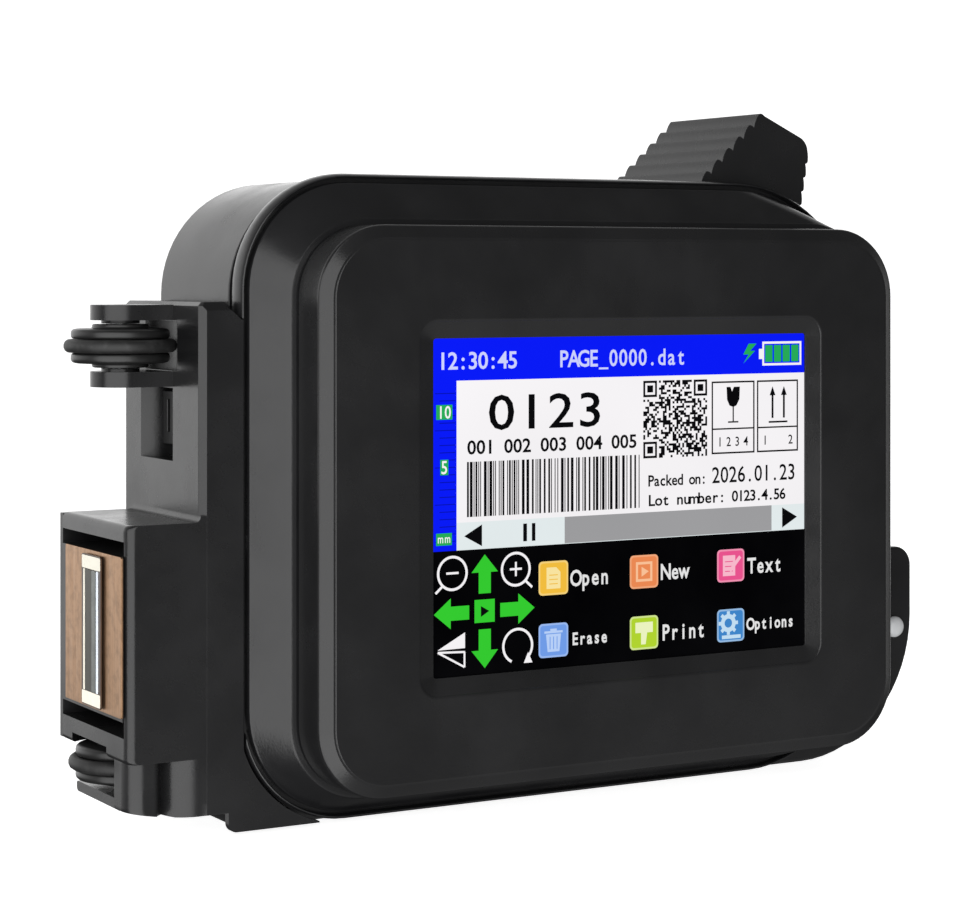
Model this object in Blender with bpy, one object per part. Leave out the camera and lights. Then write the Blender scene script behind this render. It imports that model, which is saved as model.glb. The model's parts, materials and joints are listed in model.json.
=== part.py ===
"""Handheld date code inkjet printer, built from separate named sub-parts.

Lengths in this script are millimetres in a datum frame and become metres when an object is made.
The datum frame has X to the right, Y away from the person reading the screen and Z up.
Its zero is the lower left corner of the screen, level with the front face of the panel.
The finished object has its origin under its middle, at the height of its flat base.
"""

import math

import bmesh
import bpy
from mathutils import Vector

MM = 0.001
GAP = 0.3            # clearance between pieces that touch
FLUSH = 0.03         # step between shapes that join flush, so that no two faces coincide
ARC = 7              # segments in a rounded corner
ROUND = 40           # segments in a turned piece

# Screen and front panel.
SCREEN_W = 71.5
SCREEN_H = 52.6
BEVEL_W = 2.8        # sloped frame round the screen
BEVEL_D = 0.9
LIP = 0.2
PANEL = (-19.6, 90.2, -17.8, 70.2)
PANEL_R = 11.4
PANEL_EDGE = 2.0     # rounding of the panel's front edge
PANEL_DEPTH = 8.0
WALL = 2.0

# Front shell.
RIM = (-26.7, 94.4, -23.3, 78.5)
RIM_R = (18.5, 24.5, 27.4, 18.5)
RIM_FRONT = 14.0
RIM_BACK = 18.0
GROOVE = 1.1
PLATEAU = PANEL_DEPTH + GAP

# Rear housing.
BASE = -23.7
REAR = 46.5
HOUSE_TOP = 77.6
HOUSE_LEFT = -26.7
HOUSE_RIGHT = 94.4
HOUSE_TOP_R = 24.3   # the top right corner, which the lock lever rocks round
STEP_X = 52.0        # the housing steps round the battery pack here
STEP_Z = 13.5
BACK_WALL = 2.0

# Battery pack at the lower right.
PACK_RIGHT = 108.7
PACK_TOP = STEP_Z - GAP
PACK_R = 24.6

# Print head block and cartridge.
HEAD_FRONT = RIM_FRONT
HEAD_LEFT = -33.25
HEAD_TOP = 58.3
HEAD_MITRE = ((-29.4, 58.1), (-25.0, 54.4))   # slope (x, z) at its top right, clear of the bead
HEAD_LOW = -20.1
HEAD_BACK = 45.0
SNOUT_LEFT = -45.3
SNOUT = (-11.35, 24.7)
SNOUT_BACK = 41.1
FLANGE_BACK = 42.6
WINDOW = (-7.4, 22.2)
WINDOW_FRONT = 15.2
CART_LEFT = -45.3
CART_BODY_LEFT = HOUSE_LEFT + 3.4
CART_RIGHT = 24.0
CART_FRONT = 19.0
CART_BACK = REAR - 0.3
CART_LOW = -20.5
CART_TOP = 50.0
NOSE_CLEAR = 2.4     # dark margin round the cartridge's nose in its window
PLATE_Y = (14.6, 37.9)
PLATE_Z = (-4.3, 20.0)
STRIP_Y = (21.5, 29.4)
STRIP_Z = (-3.9, 19.4)
FOIL = 0.4           # thickness of the nozzle plate and of its strip

# Sensor slot in the head block's left face, seen from the left.
SLOT_Y = (24.8, 37.8)
SLOT_Z = (33.4, 44.8)
SLOT_FLOOR = -28.4
SLOT_SLANT = 1.3     # the slot's far wall slants by this much
SENSOR_FACE = -30.1

# Guide rollers.
ROLLER_X = -40.1
LOWER_X = -39.3
ROLLER_Y = 29.5
UPPER_Z = 51.4
LOWER_Z = -13.4
WHEEL_R = 7.7
RING_R = 8.8
HUB_R = 4.4
AXLE_R = 1.0
RUN = 0.05           # radial clearance of a turning fit
EAR_R = 4.7
EAR = 2.4
EAR_GAP = 8.0
POCKET_CLEAR = 0.6   # round the wheels in their pockets
POCKET_TOP = -9.7
FOOT_TOP = -17.3     # the foot's shelf under the lower wheel
SHELF_LOW = -18.9
FOOT_LEFT = -45.0
FOOT_BACK = 36.6
FOOT_RISE = (-37.0, 0.18)   # left of this X the foot's underside climbs by this much per millimetre
FAR_LOBE_R = 2.8     # the rounded fronts of the foot
NEAR_LOBE_R = 5.5
WEB_LEFT = -28.6     # the web under the head reaches this far left
WEB_LOW = -23.2
WEB_DEPTH = 1.3
HUB_HALF = 3.5       # half the height of a wheel with its hubs

# Lock lever.
LEVER_FRONT = 18.6
LEVER_BACK = 46.2
STEM_FRONT = 20.0
STEM_BACK = 43.0
LEVER_PIN_R = 2.0
ROD_Z = 62.0         # height of the rod from the lever to the cartridge clamp
ROD_GAP = 1.0        # left between rod and lever, for the lever's rocking

# Controls and sockets on the right-hand wall, as (Y, Z) of their middles.
PRINT_BUTTON = (31.4, 44.0)
PRINT_BUTTON_R = 6.5
POWER_BUTTON = (24.6, 24.0)
POWER_BUTTON_R = 3.2
USB_SOCKET = (39.6, 26.0)
USB_SIZE = (5.2, 12.6)
DC_SOCKET = (32.0, 24.0)
DC_SOCKET_R = 3.0
LAMP = (104.6, RIM_BACK, -1.2)
BOARD_FRONT = 11.2

# Case screws, as (X, Z) on the back.
SCREWS = ((-16.0, 66.0), (46.0, 69.0), (44.0, -15.5), (72.0, 21.0))
SCREW_HEAD_R = 2.8
SCREW_SHANK_R = 1.3

LEVER_PIVOT = (HOUSE_RIGHT - HOUSE_TOP_R, HOUSE_TOP - HOUSE_TOP_R)

# Where the datum frame's zero sits in the finished object.
X_MID = (ROLLER_X - RING_R + PACK_RIGHT) / 2
Y_MID = REAR / 2


def world(x, y, z):
    return Vector(((x - X_MID) * MM, (y - Y_MID) * MM, (z - BASE) * MM))


# ---------------------------------------------------------------- materials
def material(name, colour, roughness, metallic=0.0):
    made = bpy.data.materials.new(name)
    made.use_nodes = True
    shader = made.node_tree.nodes["Principled BSDF"]
    shader.inputs["Base Color"].default_value = (*colour, 1.0)
    shader.inputs["Roughness"].default_value = roughness
    shader.inputs["Metallic"].default_value = metallic
    return made


def make_materials():
    return {
        "shell": material("black_abs", (0.020, 0.020, 0.022), 0.42),
        "panel": material("panel_abs", (0.022, 0.022, 0.023), 0.48),
        "head": material("head_abs", (0.019, 0.019, 0.020), 0.45),
        "glass": material("touch_glass", (0.02, 0.02, 0.03), 0.06),
        "lcd": material("lcd_grey", (0.30, 0.32, 0.34), 0.35, 0.6),
        "roller": material("roller_nylon", (0.018, 0.018, 0.018), 0.38),
        "rubber": material("ring_rubber", (0.014, 0.014, 0.014), 0.75),
        "steel": material("steel", (0.55, 0.56, 0.58), 0.30, 1.0),
        "cartridge": material("cartridge_plastic", (0.015, 0.015, 0.016), 0.40),
        "copper": material("nozzle_copper", (0.62, 0.36, 0.20), 0.34, 0.7),
        "silicon": material("nozzle_gold", (0.83, 0.62, 0.27), 0.18, 1.0),
        "board": material("circuit_board", (0.03, 0.20, 0.07), 0.50),
        "clear": material("lamp_lens", (0.85, 0.88, 0.90), 0.10),
        "button": material("button_rubber", (0.05, 0.05, 0.055), 0.55),
        "accent": material("print_button_red", (0.45, 0.03, 0.02), 0.45),
    }


# ---------------------------------------------------------------- outlines
def corners_of(box, radii):
    """Corners (x, z, radius) of a rectangle, anticlockwise from the lower left."""
    left, right, low, high = box
    places = ((left, low), (right, low), (right, high), (left, high))
    return [(x, z, r) for (x, z), r in zip(places, radii)]


def inset(corners, depth):
    """The same corners moved inwards by depth, with their radii kept concentric."""
    moved = []
    count = len(corners)
    for i, (x, z, r) in enumerate(corners):
        before = Vector(corners[i - 1][:2])
        here = Vector((x, z))
        after = Vector(corners[(i + 1) % count][:2])
        a = (here - before).normalized()
        b = (after - here).normalized()
        turn = a.x * b.y - a.y * b.x
        shift = (Vector((-a.y, a.x)) + Vector((-b.y, b.x))) * depth / (1 + a.dot(b))
        new_r = max(r - depth, 0.3) if turn > 0 else r + depth
        moved.append((x + shift.x, z + shift.y, new_r))
    return moved


def rounded(corners, steps=ARC):
    """Points of the closed outline through the corners, each replaced by its arc."""
    points = []
    count = len(corners)
    for i, (x, z, r) in enumerate(corners):
        here = Vector((x, z))
        a = (Vector(corners[i - 1][:2]) - here).normalized()
        b = (Vector(corners[(i + 1) % count][:2]) - here).normalized()
        if r <= 0:
            points.append((x, z))
            continue
        half = math.acos(max(-1.0, min(1.0, a.dot(b)))) / 2
        centre = here + (a + b).normalized() * r / math.sin(half)
        start = here + a * r / math.tan(half) - centre
        stop = here + b * r / math.tan(half) - centre
        sweep = start.angle_signed(stop)
        for k in range(steps + 1):
            t = -sweep * k / steps
            c = math.cos(t)
            s = math.sin(t)
            points.append((centre.x + start.x * c - start.y * s, centre.y + start.x * s + start.y * c))
    return points


def arc(cx, cz, r, first, last, steps):
    """Points of an arc, with its angles in degrees."""
    angles = [math.radians(first + (last - first) * k / steps) for k in range(steps + 1)]
    return [(cx + r * math.cos(a), cz + r * math.sin(a)) for a in angles]


# ---------------------------------------------------------------- objects
def finish_object(name, bm, look, pivot):
    """Makes the object from a mesh in datum millimetres, with its origin on pivot."""
    bmesh.ops.remove_doubles(bm, verts=bm.verts, dist=0.0001)
    bmesh.ops.recalc_face_normals(bm, faces=bm.faces)
    for vert in bm.verts:
        vert.co = (vert.co - Vector(pivot)) * MM
    mesh = bpy.data.meshes.new(name)
    bm.to_mesh(mesh)
    bm.free()
    mesh.shade_smooth()
    mesh.set_sharp_from_angle(angle=math.radians(32))
    obj = bpy.data.objects.new(name, mesh)
    obj.location = world(*pivot)
    if look:
        mesh.materials.append(look)
    bpy.context.scene.collection.objects.link(obj)
    return obj


def loft(name, rings, look, pivot=(0, 0, 0), ring_closed=False):
    """A skin through rings of equally many points. Its ends are capped, or joined if ring_closed."""
    bm = bmesh.new()
    made = [[bm.verts.new(point) for point in ring] for ring in rings]
    count = len(made[0])
    pairs = list(zip(made, made[1:]))
    if ring_closed:
        pairs.append((made[-1], made[0]))
    for one, two in pairs:
        for i in range(count):
            j = (i + 1) % count
            bm.faces.new((one[i], one[j], two[j], two[i]))
    if not ring_closed:
        bm.faces.new(made[0])
        bm.faces.new(made[-1])
    return finish_object(name, bm, look, pivot)


def at_y(points, y):
    return [(x, y, z) for x, z in points]


def at_x(points, x):
    return [(x, y, z) for y, z in points]


def at_z(points, z):
    return [(x, y, z) for x, y in points]


def prism(name, place, points, low, high, look, pivot=(0, 0, 0)):
    """An outline extruded along the axis that place (at_x, at_y or at_z) stands for."""
    return loft(name, [place(points, low), place(points, high)], look, pivot)


def soft_prism(name, place, corners, low, high, edge, look, pivot=(0, 0, 0)):
    """An extruded outline whose two ends are chamfered by edge."""
    outer = rounded(corners)
    inner = rounded(inset(corners, edge))
    rings = [place(inner, low), place(outer, low + edge), place(outer, high - edge), place(inner, high)]
    return loft(name, rings, look, pivot)


def turned(name, profile, centre, axis, look, steps=ROUND):
    """A profile of (radius, height) turned about the axis through centre."""
    up = {"X": Vector((1, 0, 0)), "Y": Vector((0, 1, 0)), "Z": Vector((0, 0, 1))}[axis]
    side = {"X": Vector((0, 1, 0)), "Y": Vector((0, 0, 1)), "Z": Vector((1, 0, 0))}[axis]
    other = up.cross(side)
    rings = []
    for radius, height in profile:
        ring = []
        for k in range(steps):
            a = 2 * math.pi * k / steps
            spoke = side * math.cos(a) + other * math.sin(a)
            ring.append(Vector(centre) + up * height + spoke * radius)
        rings.append(ring)
    return loft(name, rings, look, centre)


def turned_ring(name, profile, centre, axis, look, steps=ROUND):
    """A closed profile of (radius, height), clear of the axis, turned about it."""
    up = {"X": Vector((1, 0, 0)), "Y": Vector((0, 1, 0)), "Z": Vector((0, 0, 1))}[axis]
    side = {"X": Vector((0, 1, 0)), "Y": Vector((0, 0, 1)), "Z": Vector((1, 0, 0))}[axis]
    other = up.cross(side)
    rings = []
    for radius, height in profile:
        angles = [2 * math.pi * k / steps for k in range(steps)]
        spokes = [side * math.cos(a) + other * math.sin(a) for a in angles]
        rings.append([Vector(centre) + up * height + spoke * radius for spoke in spokes])
    return loft(name, rings, look, centre, ring_closed=True)


def block(name, low, high, look, edge=0.0, pivot=None):
    """A box between two corners, with its edges chamfered by edge."""
    x0, y0, z0 = low
    x1, y1, z1 = high
    corners = [(x0, z0, 0), (x1, z0, 0), (x1, z1, 0), (x0, z1, 0)]
    made = prism(name, at_y, [(x, z) for x, z, _ in corners], y0, y1, look, pivot or (0, 0, 0))
    if edge:
        bevel = made.modifiers.new("edges", "BEVEL")
        bevel.width = edge * MM
        bevel.segments = 2
        bevel.limit_method = "ANGLE"
    return made


def boolean(target, other, operation):
    """Adds a Boolean with other, which then only shapes target and is not part of the object."""
    other.hide_render = True
    other.display_type = "WIRE"
    step = target.modifiers.new(other.name, "BOOLEAN")
    step.operation = operation
    step.solver = "EXACT"
    step.object = other
    return target


def cut(target, *others):
    for other in others:
        boolean(target, other, "DIFFERENCE")
    return target


def fuse(target, *others):
    for other in others:
        boolean(target, other, "UNION")
    return target


# ---------------------------------------------------------------- display
def make_panel(looks):
    """The bezel: a shallow tray with a sloped frame round the screen."""
    panel = corners_of(PANEL, [PANEL_R] * 4)
    screen = corners_of((0, SCREEN_W, 0, SCREEN_H), [0.5] * 4)
    rings = [at_y(rounded(panel), PANEL_DEPTH)]
    for k in range(5):
        a = math.radians(90 * k / 4)
        depth = PANEL_EDGE * (1 - math.cos(a))
        rings.append(at_y(rounded(inset(panel, depth)), PANEL_EDGE * (1 - math.sin(a))))
    rings.append(at_y(rounded(inset(screen, -BEVEL_W)), 0))
    rings.append(at_y(rounded(screen), BEVEL_D))
    rings.append(at_y(rounded(screen), BEVEL_D + LIP))
    rings.append(at_y(rounded(inset(panel, 2.6)), BEVEL_D + LIP + 0.7))
    rings.append(at_y(rounded(inset(panel, 2.6)), PANEL_DEPTH))
    return loft("front_panel", rings, looks["panel"], ring_closed=True)


def make_display(looks):
    front = BEVEL_D + LIP + 0.7 + GAP
    glass_front = BEVEL_D + LIP + GAP
    glass = corners_of((-1.2, SCREEN_W + 1.2, -1.2, SCREEN_H + 1.2), [0.6] * 4)
    prism("touch_glass", at_y, rounded(glass, 2), glass_front, front + 0.6, looks["glass"])
    lcd = corners_of((-4.5, SCREEN_W + 4.5, -4.0, SCREEN_H + 4.0), [0.8] * 4)
    prism("lcd_module", at_y, rounded(lcd, 2), front + 0.9, front + 4.0, looks["lcd"])


# ---------------------------------------------------------------- shells
def make_front_shell(looks):
    """The flared ring behind the panel, with a groove and a bead at its outer edge."""
    rim = corners_of(RIM, RIM_R)
    panel = corners_of(PANEL, [PANEL_R] * 4)
    opening = corners_of((-10.0, 80.0, -9.0, 61.0), [4.0] * 4)
    rings = [
        at_y(rounded(rim), RIM_BACK),
        at_y(rounded(rim), RIM_FRONT + 1.0),
        at_y(rounded(inset(rim, 0.35)), RIM_FRONT + 0.3),
        at_y(rounded(inset(rim, GROOVE)), RIM_FRONT),
        at_y(rounded(inset(rim, GROOVE)), RIM_FRONT + 0.7),
        at_y(rounded(inset(rim, GROOVE + 0.6)), RIM_FRONT + 0.7),
        at_y(rounded(inset(rim, GROOVE + 0.6)), RIM_FRONT - 0.7),
        at_y(rounded(inset(panel, -1.6)), PLATEAU + 0.5),
        at_y(rounded(inset(panel, -1.0)), PLATEAU),
        at_y(rounded(opening), PLATEAU),
        at_y(rounded(opening), PLATEAU + WALL),
        at_y(rounded(inset(panel, 1.2)), PLATEAU + WALL),
        at_y(rounded(inset(rim, 4.0)), RIM_FRONT + 1.5),
        at_y(rounded(inset(rim, 4.0)), RIM_BACK),
    ]
    shell = loft("front_shell", rings, looks["shell"], ring_closed=True)
    right = HOUSE_LEFT + GROOVE
    (left_x, left_z), (right_x, right_z) = HEAD_MITRE
    slope = (right_z - left_z) / (right_x - left_x)
    outline = [(SNOUT_LEFT, BASE - 2), (right, BASE - 2), (right, left_z + slope * (right - left_x) + 0.4)]
    outline += [(left_x, left_z + 0.4), (SNOUT_LEFT, left_z + 0.4)]
    notch = prism("cut_shell_head", at_y, outline, RIM_FRONT - 0.2, RIM_BACK + 1, None)
    return cut(shell, notch)


def housing_corners(depth=0.0):
    corners = [
        (HOUSE_LEFT, BASE, 2.5),
        (STEP_X - GAP, BASE, 1.0),
        (STEP_X - GAP, STEP_Z, 1.0),
        (HOUSE_RIGHT, STEP_Z, 2.0),
        (HOUSE_RIGHT, HOUSE_TOP, HOUSE_TOP_R),
        (HOUSE_LEFT, HOUSE_TOP, 18.3),
    ]
    return inset(corners, depth) if depth else corners


def bay_opening(clear):
    """Corners (x, z, radius) of the cartridge bay, grown by clear beyond the cartridge."""
    low = CART_LOW - clear
    high = CART_TOP + clear
    right = CART_RIGHT + clear
    left = CART_BODY_LEFT - clear
    return [(left, low, 1.5), (right, low, 1.5), (right, high, 1.5), (left, high, 1.5)]


def make_housing(looks):
    """The rear housing: an open-fronted box that steps round the battery pack."""
    front = RIM_BACK + GAP
    inner_back = REAR - BACK_WALL
    rings = [
        at_y(rounded(housing_corners(WALL + 0.4)), inner_back),
        at_y(rounded(housing_corners(WALL + 0.4)), front),
        at_y(rounded(housing_corners()), front),
        at_y(rounded(housing_corners()), REAR - 1.2),
        at_y(rounded(housing_corners(0.4)), REAR - 0.35),
        at_y(rounded(housing_corners(1.2)), REAR),
    ]
    house = loft("rear_housing", rings, looks["shell"])
    pivot_x, pivot_z = LEVER_PIVOT
    boss_at = (pivot_x, inner_back - 4, pivot_z)
    bosses = [turned("add_pin_boss", [(4.0, 0), (4.0, 4.2)], boss_at, "Y", None, 24)]
    for i, (x, z) in enumerate(SCREWS):
        screw_at = (x, inner_back - 8, z)
        bosses.append(turned(f"add_boss_{i}", [(4.2, 0), (4.2, 8.2)], screw_at, "Y", None, 20))
    fuse(house, *bosses)
    bay = prism("cut_bay", at_y, rounded(bay_opening(0.4), 3), inner_back - 1, REAR + 2, None)
    side_low = (HOUSE_LEFT - 3, front - 2, WINDOW[0])
    side = block("cut_bay_side", side_low, (HOUSE_LEFT + 6, REAR + 2, WINDOW[1]), None)
    slot = block(
        "cut_lever_slot",
        (pivot_x - 5.2, STEM_FRONT - 0.6, pivot_z + 10),
        (pivot_x + 15.0, STEM_BACK + 0.6, HOUSE_TOP + 3),
        None,
    )
    pin_r = LEVER_PIN_R + GAP
    pin_at = (pivot_x, inner_back - 5, pivot_z)
    cutters = [bay, side, slot, turned("cut_pin", [(pin_r, 0), (pin_r, 3.6)], pin_at, "Y", None, 24)]
    shank_r = SCREW_SHANK_R + GAP
    sink_r = SCREW_HEAD_R + GAP
    for i, (x, z) in enumerate(SCREWS):
        profile = [(shank_r, 0), (shank_r, 8), (sink_r, 8), (sink_r, 12)]
        cutters.append(turned(f"cut_screw_{i}", profile, (x, inner_back - 8.4, z), "Y", None, 20))
    holes = (
        ("cut_print_button", PRINT_BUTTON, PRINT_BUTTON_R),
        ("cut_power_button", POWER_BUTTON, POWER_BUTTON_R),
        ("cut_dc_socket", DC_SOCKET, DC_SOCKET_R),
    )
    for name, (y, z), r in holes:
        cutters.append(turned(name, [(r + GAP, -6), (r + GAP, 6)], (HOUSE_RIGHT, y, z), "X", None, 28))
    usb_y, usb_z = USB_SOCKET
    half_y = USB_SIZE[0] / 2 + GAP
    half_z = USB_SIZE[1] / 2 + GAP
    cutters.append(
        block(
            "cut_usb_socket",
            (HOUSE_RIGHT - 6, usb_y - half_y, usb_z - half_z),
            (HOUSE_RIGHT + 6, usb_y + half_y, usb_z + half_z),
            None,
        )
    )
    return cut(house, *cutters)


# ---------------------------------------------------------------- print head
def head_outline(right, inside):
    """Corners (x, y, radius) of the upright body seen from above. Its front part tucks into the shell."""
    return [
        (HEAD_LEFT, HEAD_FRONT, 0.95),
        (inside, HEAD_FRONT, 0.3),
        (inside, RIM_BACK, 0.3),
        (right, RIM_BACK, 0.3),
        (right, HEAD_BACK, 0.3),
        (HEAD_LEFT, HEAD_BACK, 0.95),
    ]


def make_snout(right):
    """The box round the nozzles, with its left front edge rounded."""
    low, high = SNOUT
    top_left = [(HEAD_LEFT, high + 1, 0), (HEAD_LEFT, high, 0.9), (SNOUT_LEFT, high, 1.0)]
    profile = [(SNOUT_LEFT, low, 0.8), (right - 1, low, 0), (right - 1, high + 1, 0)] + top_left
    front = HEAD_FRONT + FLUSH
    rings = []
    for along in (0, 0.5, 1.0, 1.5):
        left = SNOUT_LEFT + 1.5 - math.sqrt(1.5**2 - (1.5 - along) ** 2)
        moved = [(left, low, 0.8)] + profile[1:5] + [(left, high, 1.0)]
        rings.append(at_y(rounded(moved, 5), front + along))
    rings.append(at_y(rounded(profile, 5), SNOUT_BACK))
    return loft("add_snout", rings, None)


def foot_outline(right, left):
    """Points (x, y) of the foot seen from above: two rounded lobes in front, then the wheel's shelf."""
    front = HEAD_FRONT + 2 * FLUSH
    near_x = FOOT_LEFT + 11.5
    far_r = min(FAR_LOBE_R, FOOT_LEFT + 4.1 - left)
    points = [(right - 1, front)] + arc(near_x, front + NEAR_LOBE_R, NEAR_LOBE_R, 270, 205, 10)
    points += arc(FOOT_LEFT + 4.2, front + 1.25, 0.9, 350, 270, 4)
    points += arc(left + far_r, front + 0.35 + far_r, far_r, 270, 180, 8)
    inner = HEAD_LEFT - 0.1
    return points + [(left, 19.8), (inner, 19.8), (inner, HEAD_BACK - 1), (right - 1, HEAD_BACK - 1)]


def make_foot(right):
    low = HEAD_LOW + FLUSH
    rings = []
    for up in (0, 0.6, 2.0):
        left = FOOT_LEFT + 2.0 - math.sqrt(2.0**2 - (2.0 - up) ** 2)
        rings.append(at_z(foot_outline(right, left), low + up))
    rings.append(at_z(foot_outline(right, FOOT_LEFT), SNOUT[0] + 1.0))
    foot = loft("add_foot", rings, None)
    start, slope = FOOT_RISE
    end = FOOT_LEFT - 1
    wedge = [(end, low - 1), (start + 1, low - 1), (start + 1, low - slope), (end, low + slope * (start - end))]
    return cut(foot, prism("cut_foot_rise", at_y, wedge, HEAD_FRONT - 1, 25, None))


def make_shelf():
    """The shelf under the lower wheel."""
    profile = [(18.6, SHELF_LOW, 0), (FOOT_BACK, SHELF_LOW, 0.6), (FOOT_BACK, FOOT_TOP, 0.3), (18.6, FOOT_TOP, 0)]
    return prism("add_shelf", at_x, rounded(profile, 4), FOOT_LEFT + 0.4, HEAD_LEFT + 1.5, None)


def make_ears():
    """The two rounded plates that hold the upper wheel."""
    ears = []
    for name, z0 in (("add_ear_high", UPPER_Z + EAR_GAP / 2), ("add_ear_low", UPPER_Z - EAR_GAP / 2 - EAR)):
        root = HEAD_LEFT + 1.5
        outline = arc(ROLLER_X, ROLLER_Y, EAR_R, 90, 270, 16)
        outline += [(root, ROLLER_Y - EAR_R), (root, ROLLER_Y + EAR_R)]
        ears.append(prism(name, at_z, outline, z0, z0 + EAR, None))
    return ears


def make_web():
    """The corner under the head that follows the rim's curve down."""
    corner_x = RIM[0] + RIM_R[0]
    corner_z = RIM[2] + RIM_R[0]
    curve = arc(corner_x, corner_z, RIM_R[0] + GAP, 190, 255, 14)
    web = curve + [(curve[-1][0], WEB_LOW)]
    web += arc(WEB_LEFT + 1.4, WEB_LOW + 1.4, 1.4, 270, 180, 5)
    web.append((WEB_LEFT, curve[0][1]))
    return prism("add_corner_web", at_y, web, HEAD_FRONT + 2 * FLUSH, HEAD_FRONT + WEB_DEPTH, None)


def bevel_cutter():
    """What the sloping bevel takes off the front of the head's top."""
    corner = [(HEAD_FRONT - 0.9, HEAD_TOP - 2.6), (HEAD_FRONT + 1.8, HEAD_TOP + 1.3), (HEAD_FRONT - 0.9, HEAD_TOP + 1.3)]
    return prism("cut_bevel", at_x, corner, HEAD_LEFT - 1, HOUSE_LEFT + 2, None)


def make_head(looks):
    """The print head block: upright body, snout round the nozzles, roller ears and foot."""
    right = HOUSE_LEFT - GAP
    outline = head_outline(right, HOUSE_LEFT + GROOVE - GAP)
    edge = at_z(rounded(outline, 4), HEAD_TOP - 0.6)
    top = at_z(rounded(inset(outline, 0.6), 4), HEAD_TOP)
    body = loft("head_block", [at_z(rounded(outline, 4), HEAD_LOW), edge, top], looks["head"])
    fuse(body, make_snout(right), make_foot(right), make_shelf(), make_web(), *make_ears())
    pocket_r = RING_R + POCKET_CLEAR
    half = EAR_GAP / 2 - 0.1
    axle_r = AXLE_R + RUN
    upper = (ROLLER_X, ROLLER_Y, UPPER_Z)
    lower = (LOWER_X, ROLLER_Y, LOWER_Z)
    low_pocket = [(pocket_r, FOOT_TOP + FLUSH - LOWER_Z), (pocket_r, POCKET_TOP - LOWER_Z)]
    slope_high = HEAD_TOP + 4
    mitre = [HEAD_MITRE[0], HEAD_MITRE[1], (HEAD_MITRE[1][0], slope_high), (HEAD_MITRE[0][0], slope_high)]
    window_low = (SNOUT_LEFT - 2, WINDOW_FRONT, WINDOW[0])
    y0, y1 = SLOT_Y
    far_y = y1 - SLOT_SLANT
    slot = [(HEAD_LEFT - 2, y0), (SLOT_FLOOR, y0), (SLOT_FLOOR, far_y), (HEAD_LEFT + 2.6, far_y)]
    slot.append((HEAD_LEFT - 2, y1 + 1.0))
    return cut(
        body,
        prism("cut_mitre", at_y, mitre, HEAD_FRONT - 1, RIM_BACK, None),
        bevel_cutter(),
        block("cut_snout", window_low, (right + 2, HEAD_BACK + 2, WINDOW[1]), None),
        turned("cut_wheel_pocket", [(pocket_r, -half), (pocket_r, half)], upper, "Z", None),
        turned("cut_low_wheel_pocket", low_pocket, lower, "Z", None),
        prism("cut_sensor_slot", at_z, slot, SLOT_Z[0], SLOT_Z[1], None),
        turned("cut_upper_axle", [(axle_r, -9), (axle_r, 9)], upper, "Z", None, 24),
        turned("cut_lower_axle", [(axle_r, -8), (axle_r, 5.2)], lower, "Z", None, 24),
    )


def make_sensor(looks):
    """The product sensor at the bottom of its slot, with an upright slit."""
    far = SLOT_Y[1] - SLOT_SLANT
    low, high = SLOT_Z
    sensor_high = (SLOT_FLOOR - GAP, far - GAP, high - 0.9)
    sensor = block("photo_sensor", (SENSOR_FACE, far - 8.0, low + 2.0), sensor_high, looks["roller"])
    slit_low = (SENSOR_FACE - 1, far - 3.0, low + 4.0)
    slit = block("cut_slit", slit_low, (SENSOR_FACE + 0.8, far - 2.0, high - 2.2), None)
    return cut(sensor, slit)


# ---------------------------------------------------------------- guide rollers
def make_roller(name, x, z, low, high, looks):
    """A grooved wheel with a rubber ring, turning on an upright axle held at both ends."""
    centre = (x, ROLLER_Y, z)
    bore = AXLE_R + RUN
    half = HUB_HALF
    side = [
        (HUB_R, half),
        (HUB_R, half - 0.7),
        (WHEEL_R - 0.5, half - 0.9),
        (WHEEL_R, half - 1.4),
        (WHEEL_R, 1.1),
        (RING_R - 2.2, 0.95),
    ]
    profile = [(bore, half)] + side + [(r, -h) for r, h in reversed(side)] + [(bore, -half)]
    turned_ring(f"{name}_wheel", profile, centre, "Z", looks["roller"])
    ring = [(RING_R - 1.9, 0.6), (RING_R - 0.7, 0.8), (RING_R, 0.35)]
    ring += [(r, -h) for r, h in reversed(ring)]
    turned_ring(f"{name}_ring", ring, centre, "Z", looks["rubber"])
    turned(f"{name}_axle", [(AXLE_R, low - z), (AXLE_R, high - z)], centre, "Z", looks["steel"], 24)


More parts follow.
